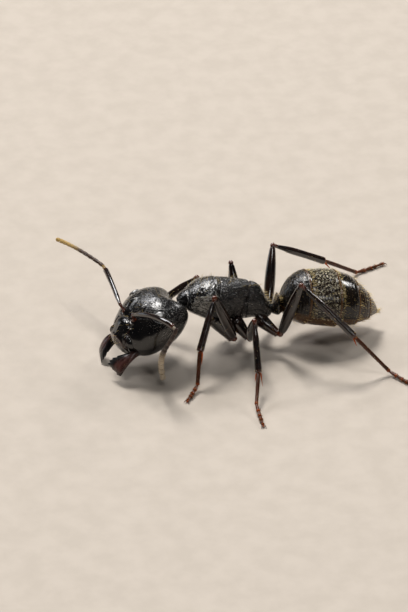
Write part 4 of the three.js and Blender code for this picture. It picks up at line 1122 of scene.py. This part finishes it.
# ------------------------------------------------------------------ legs
LEG_SIZES = {
    "fore": dict(coxa=1.45, femur=2.84, tibia=2.56, basitarsus=1.53, tarsus=1.10, coxa_radius=0.48),
    "mid": dict(coxa=1.05, femur=2.66, tibia=2.37, basitarsus=1.72, tarsus=1.40, coxa_radius=0.40),
    "hind": dict(coxa=1.20, femur=3.26, tibia=3.38, basitarsus=2.46, tarsus=1.55, coxa_radius=0.38)}
FOOT_LEVEL = 0.21
LEG_POSES = {
    "fore_leg_l": dict(hip=(0.42, -0.76, 1.90), coxa=(150, -47), femur=(17, 67), tibia=(54, -46), basitarsus=(68, -60), tarsus=52),
    "fore_leg_r": dict(hip=(0.42, -0.69, 1.87), coxa=(156, -55), femur=(19, 62), tibia=(27, -42), basitarsus=(58, -46), tarsus=46),
    "mid_leg_l": dict(hip=(0.50, 0.25, 1.56), coxa=(140, -46), femur=(81, 50), tibia=(83, -49), basitarsus=(72, -25), tarsus=88),
    "mid_leg_r": dict(hip=(0.50, 0.25, 1.56), coxa=(142, -47), femur=(85, 60), tibia=(118, -82), basitarsus=(78, -17), tarsus=70),
    "hind_leg_l": dict(hip=(0.46, 1.40, 1.52), coxa=(135, -27), femur=(132, 70), tibia=(139, -36), basitarsus=(167, -49), tarsus=120),
    "hind_leg_r": dict(hip=(0.43, 1.40, 1.54), coxa=(140, -36), femur=(111, 47.5), tibia=(162, -31), basitarsus=(156, -34), tarsus=160)}


def heading(bearing, rise, side):
    b, r = bearing * DEG, rise * DEG
    return np.array([side * math.sin(b) * math.cos(r), -math.cos(b) * math.cos(r), math.sin(r)])


def leg_points(name):
    pose, size, side = LEG_POSES[name], LEG_SIZES[name.split("_")[0]], 1 if name.endswith("_l") else -1
    p = [np.array([side * pose["hip"][0], pose["hip"][1], pose["hip"][2]])]
    for k in ("coxa", "femur", "tibia", "basitarsus"):
        p.append(p[-1] + heading(*pose[k], side) * size[k])
    drop = float(np.clip((FOOT_LEVEL - p[4][2]) / size["tarsus"], -1, 1))
    p.append(p[4] + heading(pose["tarsus"], math.asin(drop) / DEG, side) * size["tarsus"])
    return p, side, size


def straight(a, b, ga, gb, bow=0.0):
    d = unit(b - a)
    p, q = a + d * ga, b - d * gb
    return bezier2(p, (p + q) / 2 + np.array([0, 0, bow]), q)


def thorn(a, b, bend, r, rings=16, around=12):
    """a pointed curved spur or claw from a to b"""
    P, _, _ = limb(bezier2(a, (a + b) / 2 + bend, b), lambda s: r * (1 - s ** 1.25) * (0.55 + 0.45 * np.minimum(1, s / 0.12)) + 0.0015, rings, around, side=(0.31, 0.2, 0.93))
    return P


def make_leg(name):
    p, side, size = leg_points(name)
    pair = name.split("_")[0]
    across = np.array([0.0, 1.0, 0.0])
    big = {"fore": 1.0, "mid": 0.95, "hind": 1.0}[pair]
    hard, foot = [], []
    coat = {}
    # hip
    R = size["coxa_radius"] * 0.93
    cr = lambda s: R * (1.0 - 0.40 * smooth(0.10, 1, s)) * (0.42 + 0.58 * ends(s, 0.20, 0.10))
    P, S, PH = limb(straight(p[0], p[1], -0.22, 0.10), cr, 70, 52, side=across, flat=0.90, section=lambda S, PH: 1 + 0.05 * np.cos(2 * PH) * np.sin(np.pi * S))
    coxa = Tube(P)
    coxa.push(-0.020 * hill((S - 0.90) / 0.02) + 0.014 * hill((S - 0.955) / 0.02) - 0.018 * hill((S - 0.16) / 0.03))
    coxa.tone = 0.35 * smooth(0.86, 1.0, S) + 0.10 * smooth(0.5, 0.9, S)
    coat["coxa"] = coxa
    # trochanter
    d1, d2 = unit(p[1] - p[0]), unit(p[2] - p[1])
    k0, k1 = p[1] - d1 * 0.13, p[1] + d2 * 0.30
    P, S, PH = limb(bezier2(k0, p[1] + (d2 - d1) * 0.02, k1), lambda s: 0.155 * big * (0.62 + 0.42 * hill((s - 0.55) / 0.28)) * (0.6 + 0.4 * ends(s, 0.1, 0.06)), 34, 34, side=across)
    troch = Tube(P, 0.55 + 0.25 * hill((S - 0.5) / 0.3))
    # thigh: slim at both joints, full before the middle
    fr = lambda s: 0.285 * big * (0.46 + 0.54 * np.sin(np.pi * np.clip(0.06 + 0.98 * s ** 0.86, 0, 1)) ** 0.75) * (0.60 + 0.40 * ends(s, 0.04, 0.05))
    P, S, PH = limb(straight(p[1], p[2], 0.24, -0.05, 0.05), fr, 130, 48, side=across, flat=0.86, section=lambda S, PH: 1 + 0.03 * np.cos(2 * PH))
    femur = Tube(P)
    femur.push(-0.012 * hill((S - 0.945) / 0.014) + 0.008 * hill((S - 0.965) / 0.012) - 0.010 * hill((S - 0.035) / 0.012))
    femur.tone = 0.60 * smooth(0.93, 1.0, S) + 0.45 * smooth(0.07, 0.0, S)
    coat["femur"] = femur
    # knee: a small ball held between two lobes
    P, S, PH = limb(lambda t: p[2] + (t[:, None] - 0.5) * 0.26 * unit(unit(p[3] - p[2]) + d2), lambda s: 0.115 * ends(s, 0.5, 0.5) + 0.003, 18, 26, side=across)
    knee = Tube(P, 0.65)
    # shin: bent narrow neck, widening to the spurs
    tb = {"fore": 0.195, "mid": 0.185, "hind": 0.19}[pair]
    tr = lambda s: tb * (0.50 + 0.06 * hill((s - 0.02) / 0.03) + 0.44 * smooth(0.04, 0.40, s) + 0.06 * smooth(0.6, 1.0, s)) * (0.62 + 0.38 * ends(s, 0.02, 0.03))
    P, S, PH = limb(straight(p[2], p[3], 0.03, 0.0, 0.035), tr, 120, 40, side=across, flat=0.88)
    tibia = Tube(P)
    tibia.push(-0.008 * hill((S - 0.075) / 0.014))
    tibia.tone = 0.75 * smooth(0.10, 0.0, S) + 0.35 * smooth(0.93, 1.0, S)
    coat["tibia"] = tibia
    hard += [coxa, troch, femur, knee, tibia]
    # spurs
    d3, d4 = unit(p[3] - p[2]), unit(p[4] - p[3])
    under = unit(np.array([0, 0, -1.0]) + 0.55 * d3)
    inner = unit(np.cross(d3, np.array([0, 0, 1.0]))) * side
    end = p[3] - d3 * 0.05
    if pair == "fore":
        a = end - inner * 0.11 + under * 0.06
        foot.append(Tube(thorn(a, a + unit(d4 + 0.25 * d3 - 0.10 * inner) * 0.56 + under * 0.05, under * 0.12, 0.050), 0.9))
    else:
        for w, g in ((-0.10, 0.66), (0.10, 0.44)):
            a = end + inner * w + under * 0.07
            foot.append(Tube(thorn(a, a + unit(d4 * 0.55 + under * 0.75 + inner * w * 1.8) * g, under * 0.04, 0.040), 0.9))
    # foot: one long joint and four short ones, each widening to its end
    fb = {"fore": 0.118, "mid": 0.108, "hind": 0.112}[pair]
    br = lambda s: fb * (0.80 + 0.10 * smooth(0.0, 0.2, s) - 0.10 * smooth(0.2, 0.85, s) + 0.10 * smooth(0.85, 1.0, s)) * (0.60 + 0.40 * ends(s, 0.035, 0.035))
    P, S, PH = limb(straight(p[3], p[4], 0.0, 0.0, 0.0), br, 70, 28, side=across, flat=0.92)
    bt = Tube(P, 0.06 + 0.44 * smooth(0.06, 0, S) + 0.6 * smooth(0.9, 1.0, S))
    foot.append(bt)
    coat["basitarsus"] = bt
    q0 = p[4]
    toe = p[5].copy()
    toe[2] = 0.105
    d5 = unit(toe - q0)
    flat_dir = unit(np.array([d5[0], d5[1], 0.0]))
    m1 = q0 + (toe - q0) * 0.38 + np.array([0, 0, -0.04])
    m2 = q0 + (toe - q0) * 0.72
    m2[2] = max(0.095, m2[2] * 0.55)
    path = bezier3(q0, m1, m2, toe)
    tt = np.linspace(0, 1, 200)
    pts = path(tt)
    arc = np.concatenate([[0], np.cumsum(np.linalg.norm(np.diff(pts, axis=0), axis=1))])
    arc /= arc[-1]
    to_t = lambda x: np.interp(x, arc, tt)
    lens = np.array([1.35, 1.0, 0.72, 1.15])
    cuts = np.concatenate([[0], np.cumsum(lens)]) / lens.sum()
    joints = []
    for i in range(4):
        a, b = cuts[i], cuts[i + 1]
        r0 = fb * (0.86 - 0.03 * i)
        def rr(s, r0=r0, i=i):
            if i < 3:
                return r0 * (0.58 + 0.50 * s ** 1.4) * (0.50 + 0.50 * ends(s, 0.10, 0.12))
            return r0 * (0.50 + 0.36 * s ** 1.6) * (0.5 + 0.5 * ends(s, 0.08, 0.10))
        JP, JS, _ = limb(lambda t, a=a, b=b: path(to_t(a + (b - a) * t)), rr, 26, 22, side=np.cross(d5, (0, 0, 1.0)))
        j = Tube(JP, 0.16 + 0.6 * smooth(0.70, 1.0, JS))
        joints.append(j)
    foot += joints
    coat["tarsomeres"] = joints
    # claws and the pad between them
    out = np.cross(flat_dir, (0, 0, 1.0))
    root = toe + flat_dir * 0.0
    for w in (1, -1):
        a = root + out * w * 0.030
        b = a + flat_dir * 0.17 + out * w * 0.085
        b[2] = 0.004
        foot.append(Tube(thorn(a, b, flat_dir * 0.05 + out * w * 0.03 + np.array([0, 0, 0.075]), 0.027), 0.15))
    P, _, _ = limb(lambda t: root + flat_dir * (0.10 * t)[:, None] + np.array([0, 0, -1.0]) * (0.055 * t)[:, None], lambda s: 0.034 * ends(s, 0.4, 0.5) + 0.002, 12, 16, side=out)
    foot.append(Tube(P, 0.8))
    word = pair + "_leg_" + ("left" if side > 0 else "right")
    piece(join(word, hard, LEG_BLACK), "leg", name + "_coxa", name + "_femur", name + "_tibia")
    piece(join(word + "_foot", foot, FOOT), "foot", name + "_basitarsus", name + "_tarsus")
    return coat, p, side, pair


# ------------------------------------------------------------------ build the shell
head = make_head()
eyes = [make_eye(1, "eye_left", "eye_l"), make_eye(-1, "eye_right", "eye_r")]
jaws = make_jaws()
make_mouth()
feelers = {k: make_feeler(k) for k in "lr"}
trunk = make_trunk()
waist = make_petiole()
plates, tail = make_gaster()
legs = {name: make_leg(name) for name in LEG_POSES}


# ------------------------------------------------------------------ the coat
def away_from(points, places, near, far):
    """0 near any of the places, 1 beyond far"""
    keep = np.ones(points.shape[:-1])
    for c in places:
        keep = keep * smooth(near, far, np.linalg.norm(points - c, axis=-1))
    return keep


def coat_head():
    l, f, u = head.l, head.f, head.u
    top = smooth(-0.35, 0.10, u)
    a = np.abs(l)
    er = np.hypot((a - EYE_PLACE[0]) / (EYE_WIDTH / 2), (f - EYE_PLACE[1]) / (EYE_LENGTH / 2))
    open_ = smooth(1.02, 1.20, er) + smooth(0.3, -0.3, u)
    socket = smooth(0.16, 0.24, np.hypot(a - SOCKET_PLACE[0], f - SOCKET_PLACE[1]))
    inner = smooth(-1.70, -1.50, f) * smooth(1.74, 1.66, f)
    dens = np.clip(open_, 0, 1) * socket * inner
    down = Coat()
    # short silver down on the crown and temples, thin on the cheeks and face shield
    crown = smooth(0.45, -0.35, f)
    sc = scatter(head.P, head.N, head.T, 4200, 11, dens * top * (0.03 + 0.97 * crown), tile=(0.02, 0.02, 0.98, 0.98))
    down.add(sc, 0.060, 0.0052, 0.20, curl=0.10, spread=0.45, tone=0.25)
    # down underneath, toned darker as painted shade
    sc = scatter(head.P, head.N, head.T, 900, 17, dens * smooth(0.1, -0.3, u), tile=(0.02, 0.02, 0.98, 0.98))
    down.add(sc, 0.060, 0.0040, 0.14, curl=0.10, spread=0.30, tone=0.8)
    down.write("head_down", PALE_HAIR)
    seta, fine = Coat(), Coat()
    sc = scatter(head.P, head.N, head.T, 64, 12, dens * top * smooth(0.95, 0.45, a), tile=(0.02, 0.02, 0.98, 0.98))
    seta.add(sc, 0.27, 0.0080, 1.05, curl=0.12, rings=3, spread=0.3, tone=0.3, sink=0.02)
    sc = scatter(head.P, head.N, head.T, 12, 13, dens * top * smooth(0.75, 1.2, f) * smooth(0.7, 0.4, a), tile=(0.02, 0.02, 0.98, 0.98))
    fine.add(sc, 0.22, 0.006, 0.85, curl=0.10, rings=3, spread=0.2, tone=0.8, sink=0.02)
    sc = scatter(head.P, head.N, head.T, 18, 14, top * smooth(1.50, 1.58, f) * smooth(0.80, 0.65, a), tile=(0.02, 0.02, 0.98, 0.98))
    fine.add(sc, 0.22, 0.006, 0.15, curl=0.05, rings=3, spread=0.12, tone=0.8, sink=0.02)
    sc = scatter(head.P, head.N, head.T, 40, 15, dens * smooth(-0.3, -0.6, u) * smooth(1.1, 0.8, a), tile=(0.02, 0.02, 0.98, 0.98))
    seta.add(sc, 0.26, 0.010, 0.85, curl=0.12, rings=3, spread=0.3, tone=0.3, sink=0.02)
    for key in "lr":
        t = jaws[key]
        ns, na = t.P.shape[:2]
        d = np.zeros((ns, na))
        d[int(ns * 0.12):int(ns * 0.80), int(na * 0.38):int(na * 0.62)] = 1
        sc = scatter(t.P, t.N, t.T, 20, 16, d, tile=(0.02, 0.02, 0.98, 0.98))
        fine.add(sc, 0.16, 0.006, 0.45, curl=0.10, rings=3, spread=0.3, tone=0.2, sink=0.015)
    seta.write("head_bristles", GOLD_HAIR)
    fine.write("face_bristles", DARK_HAIR)


def coat_feelers():
    c, dark = Coat(), Coat()
    for n, key in enumerate("lr"):
        shaft, joints = feelers[key]
        x0 = 0.02 + 0.49 * n
        sc = scatter(shaft.P, shaft.N, shaft.T, 900, 21 + n, tile=(x0, 0.02, x0 + 0.46, 0.30))
        dark.add(sc, 0.055, 0.0038, 0.22, curl=0.12, spread=0.22, tone=0.7)
        for i, j in enumerate(joints):
            y0 = 0.32 + 0.055 * i
            sc = scatter(j.P, j.N, j.T, 330, 31 + i + 20 * n, tile=(x0, y0, x0 + 0.46, y0 + 0.05))
            (dark if i < 5 else c).add(sc, 0.048, 0.0042, 0.30, curl=0.10, spread=0.22, tone=0.5 if i < 5 else 0.25)
            sc = scatter(j.P, j.N, j.T, 14, 71 + i + 20 * n, tile=(x0, y0, x0 + 0.46, y0 + 0.05))
            (dark if i < 5 else c).add(sc, 0.085, 0.0065, 0.70, curl=0.12, spread=0.2, tone=0.2)
    c.write("feeler_down", GOLD_HAIR)
    dark.write("feeler_down_dark", DARK_HAIR)


def coat_trunk():
    S, PH = trunk.S, trunk.PH
    a = np.abs((PH + np.pi) % (2 * np.pi) - np.pi) / DEG
    top = smooth(150, 125, a)
    ends_ = smooth(-2.0, -1.8, S) * smooth(2.25, 2.1, S)
    rear = -trunk.T
    down = Coat()
    # silver down, thickest on the back and shoulders, sparse on the side plates; the down on the lower sides is darker,
    # as painted shade
    sc = scatter(trunk.P, trunk.N, rear, 3400, 41, ends_ * (0.22 + 0.78 * smooth(105, 70, a)) * top, tile=(0.02, 0.02, 0.98, 0.98))
    down.add(sc, 0.052, 0.0062, 0.16, curl=0.05, spread=0.28, tone=0.12)
    # lower-side down, toned darker as painted shade
    sc = scatter(trunk.P, trunk.N, rear, 900, 48, ends_ * smooth(80, 100, a) * top, tile=(0.02, 0.02, 0.98, 0.98))
    down.add(sc, 0.085, 0.0052, 0.16, curl=0.10, spread=0.40, tone=0.5)
    # long silver hairs swept back along the flank of the first plate
    sc = scatter(trunk.P, trunk.N, rear, 1500, 49, smooth(1.05, 1.2, S) * smooth(2.15, 1.9, S) * smooth(48, 62, a) * smooth(108, 98, a), tile=(0.02, 0.02, 0.98, 0.98))
    down.add(sc, 0.16, 0.0115, 0.12, curl=0.06, spread=0.20, tone=0.0)
    down.write("trunk_down", PALE_HAIR)
    c = Coat()
    back = smooth(38, 16, a) * ends_
    sc = scatter(trunk.P, trunk.N, rear, 74, 42, back, tile=(0.02, 0.02, 0.98, 0.98))
    c.add(sc, 0.26, 0.010, 1.15, curl=0.12, rings=3, spread=0.5, tone=0.3, sink=0.02)
    sc = scatter(trunk.P, trunk.N, rear, 26, 43, smooth(2.0, 1.75, S) * smooth(1.35, 1.6, S) * smooth(70, 40, a), tile=(0.02, 0.02, 0.98, 0.98))
    c.add(sc, 0.24, 0.010, 0.9, curl=0.12, rings=3, spread=0.4, tone=0.2, sink=0.02)
    sc = scatter(trunk.P, trunk.N, rear, 24, 44, smooth(-1.2, -1.6, S) * smooth(50, 25, a) * ends_, tile=(0.02, 0.02, 0.98, 0.98))
    c.add(sc, 0.26, 0.010, 1.0, curl=0.12, rings=3, spread=0.5, tone=0.15, sink=0.02)
    sc = scatter(trunk.P, trunk.N, rear, 50, 45, smooth(118, 135, a) * smooth(165, 150, a) * ends_, tile=(0.02, 0.02, 0.98, 0.98))
    c.add(sc, 0.20, 0.009, 0.6, curl=0.12, rings=3, spread=0.5, tone=0.3, sink=0.02)
    z = waist.P[..., 2]
    sc = scatter(waist.P, waist.N, waist.T, 30, 46, smooth(z.max() - 0.35, z.max() - 0.05, z), tile=(0.02, 0.02, 0.98, 0.98))
    c.add(sc, 0.26, 0.010, 1.2, curl=0.10, rings=3, spread=0.5, tone=0.15, sink=0.02)
    sc = scatter(waist.P, waist.N, waist.T, 420, 47, smooth(z.min() + 0.1, z.min() + 0.3, z), tile=(0.02, 0.02, 0.98, 0.98))
    c.add(sc, 0.08, 0.0060, 0.2, curl=0.12, spread=0.35, tone=0.4)
    c.write("trunk_bristles", GOLD_HAIR)


# hairs on each plate: count, length, width, lift and darkness, front plate first; the dark hairs of the first and third
# plates are painted shade, the golden hairs of the others their own colour
GASTER_DOWN = [(600, 0.10, 0.0050, 0.10, 0.80), (2500, 0.105, 0.0112, 0.20, 0.0), (500, 0.11, 0.0050, 0.10, 0.80),
               (130, 0.13, 0.0120, 0.22, 0.0), (50, 0.12, 0.0110, 0.22, 0.0)]


def coat_gaster():
    left, right = Coat(), Coat()
    side, rim = Coat(), Coat()
    for t in plates:
        x, i = t.x, t.i
        vis = smooth(0.02, 0.06, x) if i else smooth(0.0, 0.10, x)
        if t.kind == "tergite":
            flow = -t.T if (t.T * GASTER[2]).sum() < 0 else t.T
            bare = 1 - 0.9 * smooth(0.90, 0.96, x)
            # tufts: the second plate's hairs gather in short ragged rows, as the light catches them
            rows = 0.05 + 0.95 * smooth(0.0, 0.7, np.sin(t.S * 40.0 + 1.6 * np.sin(t.PH * 15.0) + 1.1 * np.sin(t.PH * 37.0)) + 0.75 * np.sin(t.PH * 34.0 + 2.0 * np.sin(t.S * 11.0)))
            # tone carries the painted shade of the first and third plates' hairs
            count, length, width, lift, tone = GASTER_DOWN[i]
            for coat, m, k in ((left, t.PH >= 0, 0), (right, t.PH < 0, 1)):
                sc = scatter(t.P, t.N, flow, count // 2, 100 + 2 * i + k, vis * bare * m * rows, tile=(0.02, 0.02 + 0.19 * i, 0.98, 0.19 + 0.19 * i), closed=False)
                (coat if i < 3 else rim).add(sc, length, width, lift, curl=0.08, spread=0.26, tone=tone, sink=0.012)
            # a fringe at the front of the second and third plates, where they leave the one before
            if i in (1, 2):
                sc = scatter(t.P, t.N, flow, 260, 120 + i, smooth(0.0, 0.03, x) * smooth(0.16, 0.05, x), tile=(0.02, 0.02 + 0.09 * i, 0.98, 0.10 + 0.09 * i), closed=False)
                rim.add(sc, 0.12, 0.010, 0.35, curl=0.1, rings=2, spread=0.3, tone=0.05, sink=0.012)
            # a few upright bristles on the plate and a row along its rear rim
            sc = scatter(t.P, t.N, flow, (12, 26, 18, 14, 8)[i], 130 + i, vis * smooth(0.95, 0.8, x), tile=(0.02, 0.02 + 0.09 * i, 0.98, 0.10 + 0.09 * i), closed=False)
            rim.add(sc, 0.24, 0.010, 0.80, curl=0.14, rings=3, spread=0.25, tone=0.1, sink=0.02)
            sc = scatter(t.P, t.N, flow, (20, 34, 34, 30, 16)[i], 150 + i, smooth(0.84, 0.90, x) * smooth(0.97, 0.93, x) if i < 4 else smooth(0.4, 0.8, x), tile=(0.02, 0.02 + 0.09 * i, 0.98, 0.10 + 0.09 * i), closed=False)
            rim.add(sc, (0.22, 0.26, 0.26, 0.28, 0.20)[i], 0.011, 0.30, curl=0.12, rings=3, spread=0.16, tone=0.0, sink=0.02)
        else:
            flow = -t.T if (t.T * GASTER[2]).sum() < 0 else t.T
            sc = scatter(t.P, t.N, flow, (220, 340, 240, 160, 80)[i], 170 + i, vis, tile=(0.02, 0.02 + 0.19 * i, 0.98, 0.19 + 0.19 * i), closed=False)
            side.add(sc, 0.13, 0.0055, 0.14, curl=0.08, spread=0.25, tone=0.6)
            sc = scatter(t.P, t.N, flow, (8, 20, 24, 26, 18)[i], 190 + i, vis * smooth(0.3, 0.8, x), tile=(0.02, 0.02 + 0.19 * i, 0.98, 0.19 + 0.19 * i), closed=False)
            rim.add(sc, 0.42, 0.020, 0.22, curl=0.06, rings=3, spread=0.2, tone=0.0, sink=0.02)
    left.write("gaster_down_left", STRAW_HAIR)
    right.write("gaster_down_right", STRAW_HAIR)
    side.write("gaster_down_below", GOLD_HAIR)
    # ring of stiff hairs round the nozzle
    rng = np.random.default_rng(5)
    n = 34
    ph = np.arange(n) / n * 2 * np.pi
    o, L, A, U = GASTER
    nrm = np.cos(ph)[:, None] * L + np.sin(ph)[:, None] * U
    sc = dict(p=tail + nrm * 0.045, n=nrm, t=np.repeat(A[None], n, 0), uv=np.stack([0.02 + 0.9 * ph / 7, np.full(n, 0.97)], -1), i=None, j=None, rng=rng)
    rim.add(sc, 0.20, 0.012, 0.35, curl=0.0, rings=3, spread=0.08, tone=0.0, sink=0.02)
    rim.write("gaster_bristles", GOLD_HAIR)


def coat_legs():
    for word, sgn in (("left", 1), ("right", -1)):
        c, g = Coat(), Coat()
        names = [n for n in LEG_POSES if (n.endswith("_l")) == (sgn > 0)]
        for k, name in enumerate(names):
            coat, p, side, pair = legs[name]
            y0 = 0.02 + 0.32 * k
            for q, (part, count, length, lift) in enumerate((("coxa", 260, 0.060, 0.16), ("femur", 700, 0.055, 0.16), ("tibia", 900, 0.060, 0.22), ("basitarsus", 900, 0.065, 0.34))):
                t = coat[part]
                tile = (0.02 + 0.19 * q, y0, 0.20 + 0.19 * q, y0 + 0.30)
                sc = scatter(t.P, t.N, t.T, count, 300 + 10 * k + q + (0 if sgn > 0 else 50), tile=tile)
                c.add(sc, length, 0.0042, lift, curl=0.12, spread=0.22, tone=0.7 if part != "basitarsus" else 0.35)
            for q, t in enumerate(coat["tarsomeres"]):
                tile = (0.79, y0 + 0.07 * q, 0.97, y0 + 0.06 + 0.07 * q)
                sc = scatter(t.P, t.N, t.T, 250, 340 + 10 * k + q + (0 if sgn > 0 else 50), tile=tile)
                c.add(sc, 0.075, 0.0060, 0.45, curl=0.10, spread=0.25, tone=0.35)
            # stiff bristles: below the shin in two rows, round the joints' ends and under the foot
            for part, count, length, width, lift, key in (("femur", 16, 0.16, 0.009, 0.65, "femur"), ("tibia", 40, 0.13, 0.011, 0.55, "tibia"), ("basitarsus", 60, 0.10, 0.010, 0.50, "basitarsus")):
                t = coat[part]
                low = smooth(-0.1, -0.7, t.N[..., 2])
                s = np.linspace(0, 1, t.P.shape[0])[:, None]
                dens = low * smooth(0.15, 0.3, s) + 0.25 * smooth(0.2, 0.4, s) + 1.4 * smooth(0.93, 0.96, s) * smooth(1.0, 0.985, s)
                sc = scatter(t.P, t.N, t.T, count, 380 + 10 * k + len(part) + (0 if sgn > 0 else 50), dens, tile=(0.02, y0, 0.97, y0 + 0.30))
                g.add(sc, length, width, lift, curl=0.08, rings=3, spread=0.15, tone=0.25, sink=0.015)
            t = coat["coxa"]
            sc = scatter(t.P, t.N, t.T, 16, 395 + k, tile=(0.02, y0, 0.97, y0 + 0.30))
            g.add(sc, 0.20, 0.009, 0.8, curl=0.12, rings=3, spread=0.3, tone=0.3, sink=0.02)
            for q, t in enumerate(coat["tarsomeres"]):
                s = np.linspace(0, 1, t.P.shape[0])[:, None]
                sc = scatter(t.P, t.N, t.T, 16, 410 + 10 * k + q, smooth(0.6, 0.9, s) * smooth(0.3, -0.5, t.N[..., 2]) + 0.1, tile=(0.02, y0, 0.97, y0 + 0.30))
                g.add(sc, 0.09, 0.010, 0.6, curl=0.05, rings=3, spread=0.2, tone=0.3, sink=0.015)
        c.write("leg_down_" + word, DARK_HAIR)
        g.write("leg_bristles_" + word, GOLD_HAIR)


coat_head()
coat_feelers()
coat_trunk()
coat_gaster()
coat_legs()


# ------------------------------------------------------------------ floor, light
def make_stage():
    n = Nodes("floor_pale")
    grain = n.noise(900.0, 3.0, 0.5)
    n.set(Specular_IOR_Level=0.25)
    m = n.done(n.mix(n.span(grain, 0.35, 0.65, 0.0, 1.0), (0.530, 0.470, 0.405), (0.575, 0.512, 0.445)), n.span(grain, 0.3, 0.7, 0.75, 0.9), n.bump(grain, 0.3, 2e-5))
    size = 3.0
    me = bpy.data.meshes.new("floor")
    me.from_pydata([(-size, -size, 0), (size, -size, 0), (size, size, 0), (-size, size, 0)], [], [(0, 1, 2, 3)])
    me.materials.append(m)
    floor = bpy.data.objects.new("floor", me)
    bpy.context.scene.collection.objects.link(floor)


# how many times further out, and larger, the lights stand than their figures for a table-top set
LIGHT_REACH = 4.0


def area_light(name, toward_mm, direction, distance_mm, width_mm, height_mm, watts, color):
    d = Vector(direction).normalized()
    data = bpy.data.lights.new(name, "AREA")
    data.shape = "RECTANGLE"
    data.size, data.size_y = LIGHT_REACH * width_mm * MM, LIGHT_REACH * height_mm * MM
    data.energy = watts * LIGHT_REACH ** 2
    data.color = color
    ob = bpy.data.objects.new(name, data)
    ob.location = Vector(toward_mm) * MM + d * LIGHT_REACH * distance_mm * MM
    ob.rotation_euler = d.to_track_quat("Z", "Y").to_euler()
    bpy.context.scene.collection.objects.link(ob)


def make_light():
    w = bpy.data.worlds.new("studio")
    bpy.context.scene.world = w
    w.use_nodes = True
    bg = w.node_tree.nodes["Background"]
    bg.inputs[0].default_value = (0.84, 0.91, 1.0, 1)
    bg.inputs[1].default_value = 0.032
    mid = (0, -1.0, 1.5)
    area_light("key", mid, (-0.50, -0.06, 0.86), 170, 44, 44, 0.240, (1.0, 0.975, 0.94))
    area_light("back", mid, (-0.46, 0.70, 0.54), 190, 46, 26, 0.085, (1.0, 0.98, 0.96))
    area_light("left", mid, (-0.70, -0.70, 0.12), 220, 50, 40, 0.016, (0.80, 0.90, 1.0))
    area_light("top", mid, (0.28, 0.02, 0.96), 200, 45, 45, 0.066, (1.0, 0.99, 0.97))
    area_light("haze", mid, (-0.72, -0.22, 0.64), 200, 170, 28, 0.160, (0.98, 0.98, 1.0))
    area_light("front", mid, (0.76, 0.10, 0.64), 220, 28, 28, 0.045, (1.0, 0.99, 0.97))
    scene = bpy.context.scene
    scene.view_settings.view_transform = "Standard"


make_stage()
make_light()
